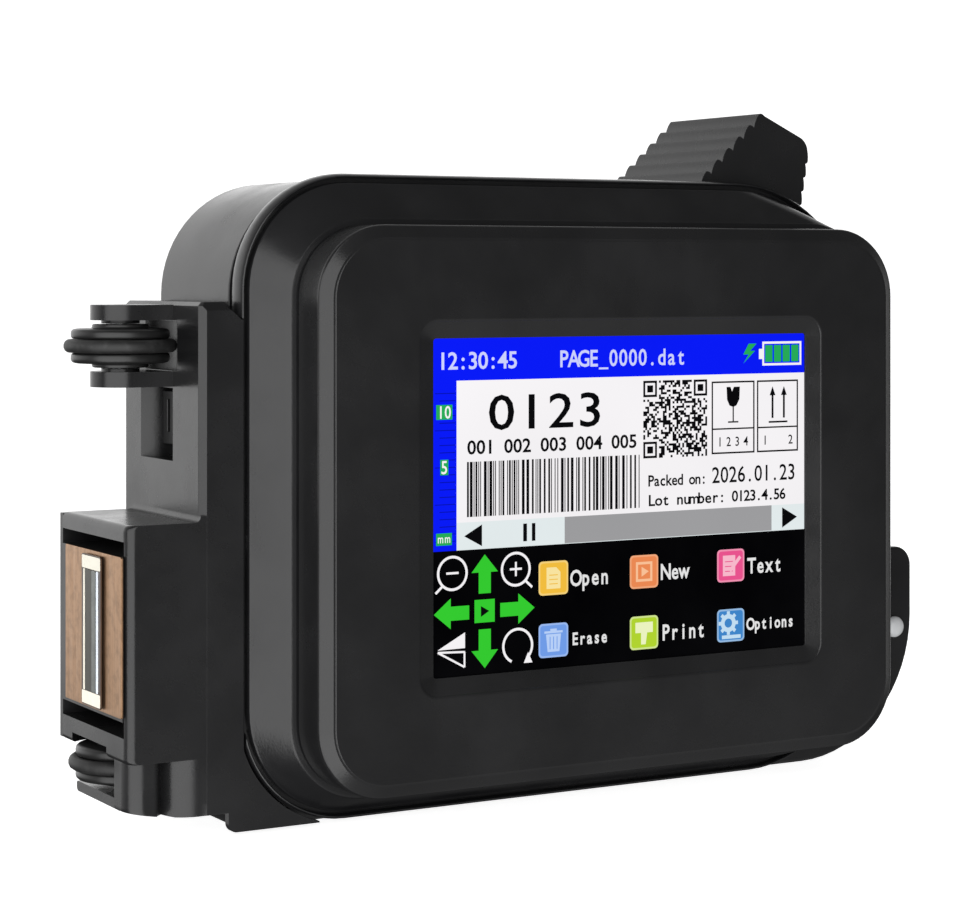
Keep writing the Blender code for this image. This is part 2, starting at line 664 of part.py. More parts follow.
# ---------------------------------------------------------------- cartridge
def make_cartridge(looks):
    """The ink cartridge, which slides in from the back, and its nozzle plate."""
    body = block(
        "ink_cartridge",
        (CART_BODY_LEFT, CART_FRONT, CART_LOW),
        (CART_RIGHT, CART_BACK, CART_TOP),
        looks["cartridge"],
        edge=0.8,
    )
    nose_low = WINDOW[0] + NOSE_CLEAR
    nose_high = WINDOW[1] - NOSE_CLEAR
    snout = block(
        "add_cart_snout",
        (CART_LEFT, WINDOW_FRONT + 0.5, nose_low),
        (HOUSE_LEFT - 2 * GAP, SNOUT_BACK + GAP + FLUSH, nose_high),
        None,
    )
    bridge = block(
        "add_cart_bridge",
        (CART_LEFT + 8, CART_FRONT + 0.5, nose_low + FLUSH),
        (CART_BODY_LEFT + 2, HEAD_BACK - 0.2, nose_high - FLUSH),
        None,
    )
    flange = block(
        "add_cart_flange",
        (SNOUT_LEFT + 0.2, SNOUT_BACK + GAP, SNOUT[0] + 0.2),
        (HEAD_LEFT - 0.5, FLANGE_BACK, SNOUT[1] - 0.2),
        None,
    )
    fuse(body, snout, bridge, flange)
    grip = block("cut_grip", (-8, CART_BACK - 3.5, 36), (10, CART_BACK + 2, 44), None, edge=1.0)
    cut(body, grip)
    plate_x = CART_LEFT - GAP
    plate_low = (plate_x - FOIL, PLATE_Y[0], PLATE_Z[0])
    block("nozzle_plate", plate_low, (plate_x, PLATE_Y[1], PLATE_Z[1]), looks["copper"])
    strip_x = plate_x - FOIL - GAP
    strip = rounded(corners_of(STRIP_Y + STRIP_Z, [0.8] * 4), 3)
    prism("nozzle_strip", at_x, strip, strip_x - FOIL, strip_x, looks["silicon"])


# ---------------------------------------------------------------- lock lever
def ridged(start, stop, count, depth):
    """Points from start to stop with count saw-tooth ridges standing out to the left of the way."""
    a = Vector(start)
    b = Vector(stop)
    out = Vector((-(b - a).y, (b - a).x)).normalized() * depth
    points = []
    for k in range(count):
        base = a + (b - a) * k / count
        tip = a + (b - a) * (k + 0.8) / count
        points += [tuple(base), tuple(tip + out)]
    points.append(tuple(b))
    return points


def make_lever(looks):
    """The lock lever: a ridged head that rocks round the housing's corner on a pin inside."""
    px, pz = LEVER_PIVOT
    sole_r = HOUSE_TOP_R + GAP
    sole = arc(px, pz, sole_r, 90, 57, 8)
    right_low = sole[-1]
    left_low = (px - 7.6, pz + sole_r)
    peak = (px + 6.0, pz + sole_r + 12.4)
    shoulder = arc(px + 12.6, pz + 30.9, 2.8, 64, 8, 5)
    right = ridged(shoulder[-1], (right_low[0] + 0.2, right_low[1] + 0.8), 4, 0.45)
    left = ridged(left_low, peak, 6, 0.75)
    outline = [left_low] + sole + right[::-1][:-1] + shoulder[::-1] + [peak] + left[::-1][1:-1]
    head = prism("lock_lever", at_y, outline, LEVER_FRONT, LEVER_BACK, looks["head"], (px, LEVER_FRONT, pz))
    stem_top = pz + sole_r + 1
    stem_outline = [(px - 4.6, pz), (px + 4.6, pz), (px + 5.8, stem_top), (px - 4.6, stem_top)]
    stem = prism("add_stem", at_y, stem_outline, STEM_FRONT, STEM_BACK, None)
    hub = turned("add_hub", [(5.0, 0), (5.0, 12.0)], (px, STEM_FRONT + 3, pz), "Y", None, 28)
    relief_low = (px - 9, STEM_FRONT + 15.3, pz - 9)
    relief = block("cut_stem", relief_low, (px + 9, STEM_BACK + 1, pz + 8), None)
    bore_r = LEVER_PIN_R + RUN
    bore = turned("cut_bore", [(bore_r, -2), (bore_r, 30)], (px, STEM_FRONT, pz), "Y", None, 28)
    fuse(head, stem, hub)
    cut(head, relief, bore)
    pin_profile = [(LEVER_PIN_R, 0), (LEVER_PIN_R, REAR - BACK_WALL - GAP - STEM_FRONT - 1.4)]
    turned("lever_pin", pin_profile, (px, STEM_FRONT - 0.2, pz), "Y", looks["steel"], 28)
    clamp_low = (CART_RIGHT + GAP, 24.0, 34.0)
    clamp_high = (CART_RIGHT + 2.7, 40.0, ROD_Z + 1.8)
    clamp = block("cartridge_clamp", clamp_low, clamp_high, looks["roller"], edge=0.5)
    rod_low = (CART_RIGHT + 1, 30.2, ROD_Z - 1.8)
    rod = block("add_rod", rod_low, (px - 4.6 - ROD_GAP, 33.8, ROD_Z + 1.6), None)
    fuse(clamp, rod)


# ---------------------------------------------------------------- battery, controls, inside
def make_battery(looks):
    pack = [
        (STEP_X, BASE, 1.0),
        (PACK_RIGHT, BASE, PACK_R),
        (PACK_RIGHT, PACK_TOP, 3.4),
        (STEP_X, PACK_TOP, 1.0),
    ]
    soft_prism("battery_pack", at_y, pack, RIM_BACK + GAP, REAR, 0.5, looks["shell"])
    angles = [math.radians(a) for a in (0, 30, 60, 80)]
    dome = [(1.9 * math.cos(a), -1.3 * math.sin(a)) for a in angles]
    turned("battery_lamp", dome, LAMP, "Y", looks["clear"], 20)


def make_controls(looks):
    y, z = PRINT_BUTTON
    profile = [(PRINT_BUTTON_R, 0), (PRINT_BUTTON_R, 4.4), (PRINT_BUTTON_R - 0.9, 5.2)]
    turned("print_button", profile, (HOUSE_RIGHT - 4.0, y, z), "X", looks["accent"], 32)
    y, z = POWER_BUTTON
    profile = [(POWER_BUTTON_R, 0), (POWER_BUTTON_R, 4.1), (POWER_BUTTON_R - 0.6, 4.6)]
    turned("power_button", profile, (HOUSE_RIGHT - 4.0, y, z), "X", looks["button"], 24)
    y, z = USB_SOCKET
    half_y = USB_SIZE[0] / 2
    half_z = USB_SIZE[1] / 2
    front = y - half_y
    usb_low = (HOUSE_RIGHT - 13, front, z - half_z)
    usb = block("usb_socket", usb_low, (HOUSE_RIGHT - 0.4, y + half_y, z + half_z), looks["steel"])
    hollow_low = (HOUSE_RIGHT - 12, front + 0.4, z - half_z + 0.4)
    hollow = block("cut_usb", hollow_low, (HOUSE_RIGHT, y + half_y - 0.4, z + half_z - 0.4), None)
    tongue_low = (HOUSE_RIGHT - 12.5, front + 1.0, z - half_z + 1.6)
    tongue = block("add_usb_tongue", tongue_low, (HOUSE_RIGHT - 2, front + 2.6, z + half_z - 1.6), None)
    cut(usb, hollow)
    fuse(usb, tongue)
    y, z = DC_SOCKET
    r = DC_SOCKET_R
    profile = [(0.9, 9.6), (0.9, 1), (2.4, 1), (2.4, 10.6), (r, 10.6), (r, 0)]
    turned("dc_socket", profile, (HOUSE_RIGHT - 11, y, z), "X", looks["button"], 28)


def make_inside(looks):
    board = (BOARD_FRONT, BOARD_FRONT + 1.6)
    block("main_board", (-8.0, board[0], -8.0), (78.0, board[1], 60.0), looks["board"])
    turned("buzzer", [(4.2, 0), (4.2, 2.4)], (66.0, board[1] + GAP, 46.0), "Y", looks["button"], 24)


def make_screws(looks):
    inner = REAR - BACK_WALL
    for i, (x, z) in enumerate(SCREWS):
        profile = [(SCREW_SHANK_R, -7.6), (SCREW_SHANK_R, 0)]
        profile += [(SCREW_HEAD_R, 0), (SCREW_HEAD_R, 1.1), (2.0, 1.5)]
        screw = turned(f"case_screw_{i + 1}", profile, (x, inner, z), "Y", looks["steel"], 20)
        arms = []
        for j, (w, h) in enumerate(((2.6, 0.5), (0.5, 2.6))):
            arm_low = (x - w / 2, inner + 0.5, z - h / 2)
            arms.append(block(f"cut_recess_{i}_{j}", arm_low, (x + w / 2, REAR, z + h / 2), None))
        cut(screw, *arms)


def main():
    for obj in list(bpy.data.objects):
        bpy.data.objects.remove(obj, do_unlink=True)
    looks = make_materials()
    make_panel(looks)
    make_display(looks)
    make_front_shell(looks)
    make_housing(looks)
    make_head(looks)
    make_sensor(looks)
    axle_half = EAR_GAP / 2 + EAR - 0.2
    make_roller("upper", ROLLER_X, UPPER_Z, UPPER_Z - axle_half, UPPER_Z + axle_half, looks)
    make_roller("lower", LOWER_X, LOWER_Z, HEAD_LOW + 0.2, LOWER_Z + 5.0, looks)
    make_cartridge(looks)
    make_lever(looks)
    make_battery(looks)
    make_controls(looks)
    make_inside(looks)
    make_screws(looks)


main()
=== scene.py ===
"""Looks for the handheld date code inkjet printer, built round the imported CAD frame."""

import json
import math
import random

import bmesh
import bpy
from mathutils import Matrix, Vector

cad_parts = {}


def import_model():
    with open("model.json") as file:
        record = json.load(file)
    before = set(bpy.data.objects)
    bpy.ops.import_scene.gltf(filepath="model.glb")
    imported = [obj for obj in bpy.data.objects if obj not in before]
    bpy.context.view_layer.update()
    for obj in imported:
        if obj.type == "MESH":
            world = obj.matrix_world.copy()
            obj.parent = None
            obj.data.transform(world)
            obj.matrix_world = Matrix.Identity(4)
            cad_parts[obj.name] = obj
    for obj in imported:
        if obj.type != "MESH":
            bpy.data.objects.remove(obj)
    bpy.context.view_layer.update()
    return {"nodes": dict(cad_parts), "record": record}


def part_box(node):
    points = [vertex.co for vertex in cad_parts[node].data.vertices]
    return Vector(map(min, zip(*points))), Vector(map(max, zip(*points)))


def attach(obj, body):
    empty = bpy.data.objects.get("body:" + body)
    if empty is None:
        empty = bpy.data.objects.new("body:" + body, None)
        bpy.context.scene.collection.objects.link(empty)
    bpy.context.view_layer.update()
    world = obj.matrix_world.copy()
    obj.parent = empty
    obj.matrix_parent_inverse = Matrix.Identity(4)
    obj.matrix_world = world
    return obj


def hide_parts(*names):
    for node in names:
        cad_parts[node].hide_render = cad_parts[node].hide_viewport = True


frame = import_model()
random.seed(7)

MM = 0.001
ARC = 16             # segments in a rounded corner
ROUND = 96           # segments in a turned piece
GAP = 0.3
FLUSH = 0.006

# The same driving dimensions as the CAD source, in millimetres from the screen's lower left corner.
SCREEN_W = 71.5
SCREEN_H = 52.6
BEVEL_W = 2.8
BEVEL_D = 0.9
LIP = 0.2
PANEL = (-19.6, 90.2, -17.8, 70.2)
PANEL_R = 11.4
PANEL_EDGE = 2.0
PANEL_DEPTH = 8.0
RIM = (-26.7, 94.4, -23.3, 78.5)
RIM_R = (18.5, 24.5, 27.4, 18.5)
RIM_FRONT = 14.0
RIM_BACK = 18.0
BEAD_SINK = 0.6      # the bead round the ring falls away this much at its two edges
GROOVE = 1.1
BASE = -23.7
REAR = 46.5
HOUSE = (-26.7, 94.4, BASE, 77.6)
HOUSE_TOP_R = 24.3
STEP = (52.0, 13.5)
PACK_RIGHT = 108.7
PACK_R = 24.6
HEAD_LEFT = -33.25
HEAD_FRONT = 14.0
HEAD_TOP = 58.3
HEAD_MITRE = ((-29.4, 58.1), (-25.0, 54.4))   # slope (x, z) at its top right, clear of the bead
HEAD_LOW = -20.1
HEAD_BACK = 45.0
SNOUT_LEFT = -45.3
SNOUT = (-11.35, 24.7)
SNOUT_BACK = 41.1
WINDOW = (-7.4, 22.2)
WINDOW_FRONT = 15.2
CART_LEFT = -45.3
NOSE_CLEAR = 2.4     # dark margin round the cartridge's nose in its window
STRIP_END = 2.2      # height of the pale block at each end of the nozzle strip
SLOT_Y = (24.8, 37.8)
SLOT_Z = (33.4, 44.8)
SLOT_FLOOR = -28.4
SLOT_SLANT = 1.3     # the slot's far wall slants by this much
SENSOR_FACE = -30.1
ROLLER_X = -40.1
LOWER_X = -39.3
ROLLER_Y = 29.5
UPPER_Z = 51.4
LOWER_Z = -13.4
WHEEL_R = 7.7
RING_R = 8.8
HUB_R = 4.4
AXLE_R = 1.0
EAR_R = 4.7
EAR = 2.4
EAR_GAP = 8.0
EAR_BOSS = 0.5       # height of the boss inside each ear
POCKET_CLEAR = 0.6   # round the wheels in their pockets
POCKET_TOP = -9.7
FOOT_TOP = -17.3     # the foot's shelf under the lower wheel
SHELF_LOW = -18.9
FOOT_LEFT = -45.0
FOOT_BACK = 36.6
FOOT_RISE = (-37.0, 0.18)   # left of this X the foot's underside climbs by this much per millimetre
FAR_LOBE_R = 2.8     # the rounded fronts of the foot
NEAR_LOBE_R = 5.5
WEB_LEFT = -28.6     # the web under the head reaches this far left
WEB_LOW = -23.2
WEB_DEPTH = 1.3
LEVER_Y = (18.6, 46.2)
PACK_TOP = STEP[1] - GAP
PLATEAU = PANEL_DEPTH + GAP
PIVOT = (HOUSE[1] - HOUSE_TOP_R, HOUSE[3] - HOUSE_TOP_R)

# The datum is found from the panel's lowest corner in the frame.
panel_low, panel_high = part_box("front_panel")
DATUM = Vector((panel_low.x / MM - PANEL[0], panel_low.y / MM, panel_low.z / MM - PANEL[2]))


def world(x, y, z):
    return (Vector((x, y, z)) + DATUM) * MM


# ---------------------------------------------------------------- node helpers
class Nodes:
    """A material's node tree, with short calls for its nodes and links."""

    def __init__(self, name):
        self.material = bpy.data.materials.new(name)
        self.material.use_nodes = True
        self.tree = self.material.node_tree
        self.shader = self.tree.nodes["Principled BSDF"]

    def add(self, kind, **values):
        node = self.tree.nodes.new(kind)
        for key, value in values.items():
            if key in node.inputs:
                node.inputs[key].default_value = value
            else:
                setattr(node, key, value)
        return node

    def link(self, source, target):
        self.tree.links.new(source, target)

    def noise(self, scale, detail=3.0, roughness=0.55):
        node = self.add("ShaderNodeTexNoise")
        node.inputs["Scale"].default_value = scale
        node.inputs["Detail"].default_value = detail
        node.inputs["Roughness"].default_value = roughness
        self.link(self.place().outputs["Object"], node.inputs["Vector"])
        return node.outputs["Fac"]

    def place(self):
        if not hasattr(self, "coordinates"):
            self.coordinates = self.add("ShaderNodeTexCoord")
        return self.coordinates

    def ramp(self, source, low, high, out_low=0.0, out_high=1.0):
        node = self.add("ShaderNodeMapRange")
        node.inputs["From Min"].default_value = low
        node.inputs["From Max"].default_value = high
        node.inputs["To Min"].default_value = out_low
        node.inputs["To Max"].default_value = out_high
        self.link(source, node.inputs["Value"])
        return node.outputs["Result"]

    def mix(self, factor, first, second):
        node = self.add("ShaderNodeMix", data_type="RGBA")
        for socket, value in ((6, first), (7, second)):
            if isinstance(value, tuple):
                node.inputs[socket].default_value = (*value, 1.0)
            else:
                self.link(value, node.inputs[socket])
        self.link(factor, node.inputs[0])
        return node.outputs[2]

    def maths(self, operation, first, second):
        node = self.add("ShaderNodeMath", operation=operation)
        for socket, value in ((0, first), (1, second)):
            if isinstance(value, (int, float)):
                node.inputs[socket].default_value = value
            else:
                self.link(value, node.inputs[socket])
        return node.outputs[0]

    def edge_mask(self, radius, low, high):
        """1 on edges tighter than radius (metres), 0 on open surfaces."""
        bevel = self.add("ShaderNodeBevel", samples=6)
        bevel.inputs["Radius"].default_value = radius
        geometry = self.add("ShaderNodeNewGeometry")
        dot = self.add("ShaderNodeVectorMath", operation="DOT_PRODUCT")
        self.link(bevel.outputs["Normal"], dot.inputs[0])
        self.link(geometry.outputs["Normal"], dot.inputs[1])
        return self.ramp(dot.outputs["Value"], high, low)

    def bump(self, heights):
        """Chains (height socket, strength, distance in metres) into the shader's normal."""
        previous = None
        for height, strength, distance in heights:
            node = self.add("ShaderNodeBump")
            node.inputs["Strength"].default_value = strength
            node.inputs["Distance"].default_value = distance
            self.link(height, node.inputs["Height"])
            if previous:
                self.link(previous, node.inputs["Normal"])
            previous = node.outputs["Normal"]
        self.link(previous, self.shader.inputs["Normal"])


def plastic(name, colour, roughness, grain=2600, depth=0.00004, wear=0.35):
    """Moulded plastic: fine grain, faint tone and gloss variation, handling scuffs and paler worn edges."""
    n = Nodes(name)
    tone = n.ramp(n.noise(38, 4.0), 0.35, 0.7)
    lighter = tuple(c * 1.35 + 0.002 for c in colour)
    body = n.mix(tone, colour, lighter)
    edge = n.edge_mask(0.00035, 0.80, 0.995)
    patchy = n.ramp(n.noise(260, 5.0, 0.7), 0.42, 0.66)
    worn = n.maths("MULTIPLY", n.maths("MULTIPLY", edge, patchy), wear)
    pale = tuple(c * 3.2 + 0.012 for c in colour)
    n.link(n.mix(worn, body, pale), n.shader.inputs["Base Color"])
    smudge = n.ramp(n.noise(75, 5.0, 0.6), 0.38, 0.68, roughness - 0.05, roughness + 0.07)
    n.link(smudge, n.shader.inputs["Roughness"])
    fine = n.noise(grain, 2.0, 0.6)
    coarse = n.noise(900, 2.0)
    n.bump([(fine, 0.35, depth), (coarse, 0.12, depth)])
    n.shader.inputs["IOR"].default_value = 1.49
    return n.material


def rubber(name, colour, roughness):
    """Rubber: matt, slightly dusty, with a fine skin."""
    n = Nodes(name)
    dust = n.ramp(n.noise(420, 6.0, 0.7), 0.5, 0.75)
    dusty = tuple(c * 2.2 + 0.01 for c in colour)
    n.link(n.mix(dust, colour, dusty), n.shader.inputs["Base Color"])
    n.link(n.ramp(n.noise(160), 0.3, 0.7, roughness - 0.08, roughness + 0.08), n.shader.inputs["Roughness"])
    n.bump([(n.noise(3400, 3.0), 0.4, 0.00005)])
    return n.material


def metal(name, colour, roughness, streaks=(60, 60, 2200), anisotropic=0.0):
    """Turned or rolled metal: fine streaks along one axis and small tarnish patches."""
    n = Nodes(name)
    mapping = n.add("ShaderNodeMapping")
    mapping.inputs["Scale"].default_value = streaks
    n.link(n.place().outputs["Object"], mapping.inputs["Vector"])
    lines = n.add("ShaderNodeTexNoise")
    lines.inputs["Scale"].default_value = 1.0
    lines.inputs["Detail"].default_value = 3.0
    n.link(mapping.outputs["Vector"], lines.inputs["Vector"])
    tarnish = n.ramp(n.noise(500, 5.0, 0.65), 0.45, 0.75)
    darker = tuple(c * 0.62 for c in colour)
    n.link(n.mix(tarnish, colour, darker), n.shader.inputs["Base Color"])
    n.link(n.ramp(lines.outputs["Fac"], 0.3, 0.7, roughness - 0.08, roughness + 0.12), n.shader.inputs["Roughness"])
    n.shader.inputs["Metallic"].default_value = 1.0
    n.shader.inputs["Anisotropic"].default_value = anisotropic
    n.bump([(lines.outputs["Fac"], 0.15, 0.00002)])
    return n.material


def glow(name, colour, strength=1.0):
    """A lit area of the display, with the faint unevenness of its backlight."""
    n = Nodes(name)
    uneven = n.ramp(n.noise(26, 2.0), 0.3, 0.7)
    dim = tuple(c * 0.93 for c in colour)
    n.link(n.mix(uneven, dim, colour), n.shader.inputs["Emission Color"])
    n.shader.inputs["Emission Strength"].default_value = strength
    n.shader.inputs["Base Color"].default_value = (0.0006, 0.0006, 0.0008, 1.0)
    n.shader.inputs["Roughness"].default_value = 0.2
    n.shader.inputs["Specular IOR Level"].default_value = 0.02
    return n.material


SHELL = plastic("black_moulding", (0.0085, 0.0085, 0.0091), 0.22)
PANEL_SKIN = plastic("panel_moulding", (0.0092, 0.0092, 0.0097), 0.26)
HEAD_SKIN = plastic("head_moulding", (0.0088, 0.0088, 0.0093), 0.26)
ROLLER_SKIN = plastic("roller_moulding", (0.0095, 0.0095, 0.0095), 0.33, 3200, 0.00003)
CART_SKIN = plastic("cartridge_moulding", (0.0110, 0.0110, 0.0115), 0.35)
RING_SKIN = rubber("ring_skin", (0.012, 0.012, 0.012), 0.55)
BUTTON_SKIN = rubber("button_skin", (0.035, 0.035, 0.038), 0.5)
RED_SKIN = plastic("print_button_skin", (0.42, 0.022, 0.016), 0.36)
STEEL = metal("pin_steel", (0.56, 0.57, 0.58), 0.28)
COPPER = metal("copper_foil", (0.46, 0.28, 0.165), 0.36, (2200, 2200, 60), 0.3)
STRIP_BROWN = plastic("strip_laminate", (0.040, 0.021, 0.011), 0.30)
EPOXY = plastic("end_epoxy", (0.82, 0.78, 0.66), 0.24, 2600, 0.00003, 0.1)
EPOXY_BLUE = plastic("edge_epoxy", (0.72, 0.77, 0.84), 0.24, 2600, 0.00003, 0.1)
SENSOR_SKIN = plastic("sensor_moulding", (0.0080, 0.0080, 0.0084), 0.34)
BOARD = plastic("solder_mask", (0.01, 0.10, 0.03), 0.35)
LCD_BACK = metal("lcd_can", (0.4, 0.41, 0.42), 0.4)


# ---------------------------------------------------------------- outlines
def corners_of(box, radii):
    left, right, low, high = box
    places = ((left, low), (right, low), (right, high), (left, high))
    return [(x, z, r) for (x, z), r in zip(places, radii)]


def inset(corners, depth):
    """The same corners moved inwards by depth, with their radii kept concentric."""
    moved = []
    count = len(corners)
    for i, (x, z, r) in enumerate(corners):
        before = Vector(corners[i - 1][:2])
        here = Vector((x, z))
        after = Vector(corners[(i + 1) % count][:2])
        a = (here - before).normalized()
        b = (after - here).normalized()
        turn = a.x * b.y - a.y * b.x
        shift = (Vector((-a.y, a.x)) + Vector((-b.y, b.x))) * depth / (1 + a.dot(b))
        new_r = max(r - depth, 0.25) if turn > 0 else r + depth
        moved.append((x + shift.x, z + shift.y, new_r))
    return moved


def rounded(corners, steps=ARC):
    """Points of the closed outline through the corners, each replaced by its arc."""
    points = []
    count = len(corners)
    for i, (x, z, r) in enumerate(corners):
        here = Vector((x, z))
        a = (Vector(corners[i - 1][:2]) - here).normalized()
        b = (Vector(corners[(i + 1) % count][:2]) - here).normalized()
        if r <= 0:
            points.append((x, z))
            continue
        half = math.acos(max(-1.0, min(1.0, a.dot(b)))) / 2
        centre = here + (a + b).normalized() * r / math.sin(half)
        start = here + a * r / math.tan(half) - centre
        stop = here + b * r / math.tan(half) - centre
        sweep = start.angle_signed(stop)
        for k in range(steps + 1):
            t = -sweep * k / steps
            c = math.cos(t)
            s = math.sin(t)
            points.append((centre.x + start.x * c - start.y * s, centre.y + start.x * s + start.y * c))
    return points


def arc(cx, cz, r, first, last, steps):
    angles = [math.radians(first + (last - first) * k / steps) for k in range(steps + 1)]
    return [(cx + r * math.cos(a), cz + r * math.sin(a)) for a in angles]


def at_y(points, y):
    return [(x, y, z) for x, z in points]


def at_x(points, x):
    return [(x, y, z) for y, z in points]


def at_z(points, z):
    return [(x, y, z) for x, y in points]


# ---------------------------------------------------------------- meshes
def finish_mesh(name, bm, look, angle=32):
    """An object in the row frame from a mesh in datum millimetres."""
    bmesh.ops.remove_doubles(bm, verts=bm.verts, dist=0.0001)
    bmesh.ops.recalc_face_normals(bm, faces=bm.faces)
    for vert in bm.verts:
        vert.co = (vert.co + DATUM) * MM
    mesh = bpy.data.meshes.new(name)
    bm.to_mesh(mesh)
    bm.free()
    mesh.shade_smooth()
    mesh.set_sharp_from_angle(angle=math.radians(angle))
    obj = bpy.data.objects.new(name, mesh)
    if look:
        mesh.materials.append(look)
    bpy.context.scene.collection.objects.link(obj)
    return obj


def loft(name, rings, look, ring_closed=False, angle=32):
    """A skin through rings of equally many points. Its ends are capped, or joined if ring_closed."""
    bm = bmesh.new()
    made = [[bm.verts.new(point) for point in ring] for ring in rings]
    count = len(made[0])
    pairs = list(zip(made, made[1:]))
    if ring_closed:
        pairs.append((made[-1], made[0]))
    for one, two in pairs:
        for i in range(count):
            j = (i + 1) % count
            bm.faces.new((one[i], one[j], two[j], two[i]))
    if not ring_closed:
        bm.faces.new(made[0])
        bm.faces.new(made[-1])
    return finish_mesh(name, bm, look, angle)


def prism(name, place, points, low, high, look):
    return loft(name, [place(points, low), place(points, high)], look)


def block(name, low, high, look):
    x0, y0, z0 = low
    x1, y1, z1 = high
    return prism(name, at_y, [(x0, z0), (x1, z0), (x1, z1), (x0, z1)], y0, y1, look)


def turned(name, profile, centre, axis, look, steps=ROUND, ring_closed=False):
    """A profile of (radius, height) turned about the axis through centre."""
    up = {"X": Vector((1, 0, 0)), "Y": Vector((0, 1, 0)), "Z": Vector((0, 0, 1))}[axis]
    side = {"X": Vector((0, 1, 0)), "Y": Vector((0, 0, 1)), "Z": Vector((1, 0, 0))}[axis]
    other = up.cross(side)
    rings = []
    for radius, height in profile:
        angles = [2 * math.pi * k / steps for k in range(steps)]
        spokes = [side * math.cos(a) + other * math.sin(a) for a in angles]
        rings.append([Vector(centre) + up * height + spoke * radius for spoke in spokes])
    return loft(name, rings, look, ring_closed)


def combine(target, operation, *others):
    """Applies a Boolean of target with each of others, which are then removed."""
    for other in others:
        step = target.modifiers.new("combine", "BOOLEAN")
        step.operation = operation
        step.solver = "EXACT"
        step.object = other
        apply_modifiers(target)
        bpy.data.objects.remove(other, do_unlink=True)
    return target


def apply_modifiers(obj):
    bpy.context.view_layer.update()
    graph = bpy.context.evaluated_depsgraph_get()
    mesh = bpy.data.meshes.new_from_object(obj.evaluated_get(graph))
    obj.modifiers.clear()
    obj.data = mesh


def soften(obj, width, segments=3, angle=30, sharp=32):
    """Rounds the edges of a finished shape and evens its shading."""
    bevel = obj.modifiers.new("edges", "BEVEL")
    bevel.width = width * MM
    bevel.segments = segments
    bevel.limit_method = "ANGLE"
    bevel.angle_limit = math.radians(angle)
    bevel.miter_outer = "MITER_ARC"
    bevel.use_clamp_overlap = True
    apply_modifiers(obj)
    obj.data.shade_smooth()
    obj.data.set_sharp_from_angle(angle=math.radians(sharp))
    return even(obj)


def even(obj):
    """Weights shading towards large faces, so that flats stay flat next to their roundings."""
    normals = obj.modifiers.new("weighted", "WEIGHTED_NORMAL")
    normals.keep_sharp = True
    normals.weight = 80
    apply_modifiers(obj)
    return obj


def dress(obj, body, slot, *nodes):
    """Puts a finished piece on its body in place of the CAD nodes."""
    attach(obj, body)
    if nodes:
        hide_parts(*nodes)
    return obj


def fillet(corners, y_edge, y_side, depth, steps=6):
    """Rings round a convex edge: from the side wall at y_side to the face at y_edge, inset by depth."""
    rings = []
    for k in range(steps + 1):
        a = math.radians(90 * k / steps)
        y = y_side + (y_edge - y_side) * math.sin(a)
        rings.append(at_y(rounded(inset(corners, depth * (1 - math.cos(a)))), y))
    return rings


# ---------------------------------------------------------------- bezel and shells
BODY = {node: body for body, nodes in frame["record"]["behaviour"]["bodies"].items() for node in nodes}


def round_over(outline, first, last, steps=5):
    """Rings for a quarter round between two (inset, y) stations, keeping to the first's inset direction."""
    (d0, y0), (d1, y1) = first, last
    rings = []
    for k in range(steps + 1):
        a = math.radians(90 * k / steps)
        depth = d0 + (d1 - d0) * (1 - math.cos(a))
        y = y0 + (y1 - y0) * math.sin(a)
        rings.append(at_y(rounded(inset(outline, depth)), y))
    return rings


def round_back(outline, first, last, steps=5):
    """The same quarter round with its flat tangent first."""
    (d0, y0), (d1, y1) = first, last
    rings = []
    for k in range(steps + 1):
        a = math.radians(90 * k / steps)
        depth = d0 + (d1 - d0) * math.sin(a)
        y = y0 + (y1 - y0) * (1 - math.cos(a))
        rings.append(at_y(rounded(inset(outline, depth)), y))
    return rings


def make_panel():
    panel = corners_of(PANEL, [PANEL_R] * 4)
    screen = corners_of((0, SCREEN_W, 0, SCREEN_H), [0.5] * 4)
    rings = [at_y(rounded(panel), PANEL_DEPTH), at_y(rounded(panel), 1.75)]
    rings += round_over(panel, (0, 1.55), (0.4, 1.02), 4)
    rings += round_back(panel, (PANEL_EDGE, 0.1), (PANEL_EDGE + 0.45, 0), 4)
    rings += round_back(screen, (-BEVEL_W - 0.35, 0), (-BEVEL_W + 0.15, 0.16), 4)
    rings.append(at_y(rounded(inset(screen, -0.15)), BEVEL_D - 0.05))
    rings.append(at_y(rounded(screen), BEVEL_D))
    rings.append(at_y(rounded(screen), BEVEL_D + LIP))
    rings.append(at_y(rounded(inset(panel, 2.6)), BEVEL_D + LIP + 0.7))
    rings.append(at_y(rounded(inset(panel, 2.6)), PANEL_DEPTH))
    obj = loft("bezel", rings, PANEL_SKIN, ring_closed=True, angle=24)
    return dress(even(obj), BODY["front_panel"], "panel_abs", "front_panel")


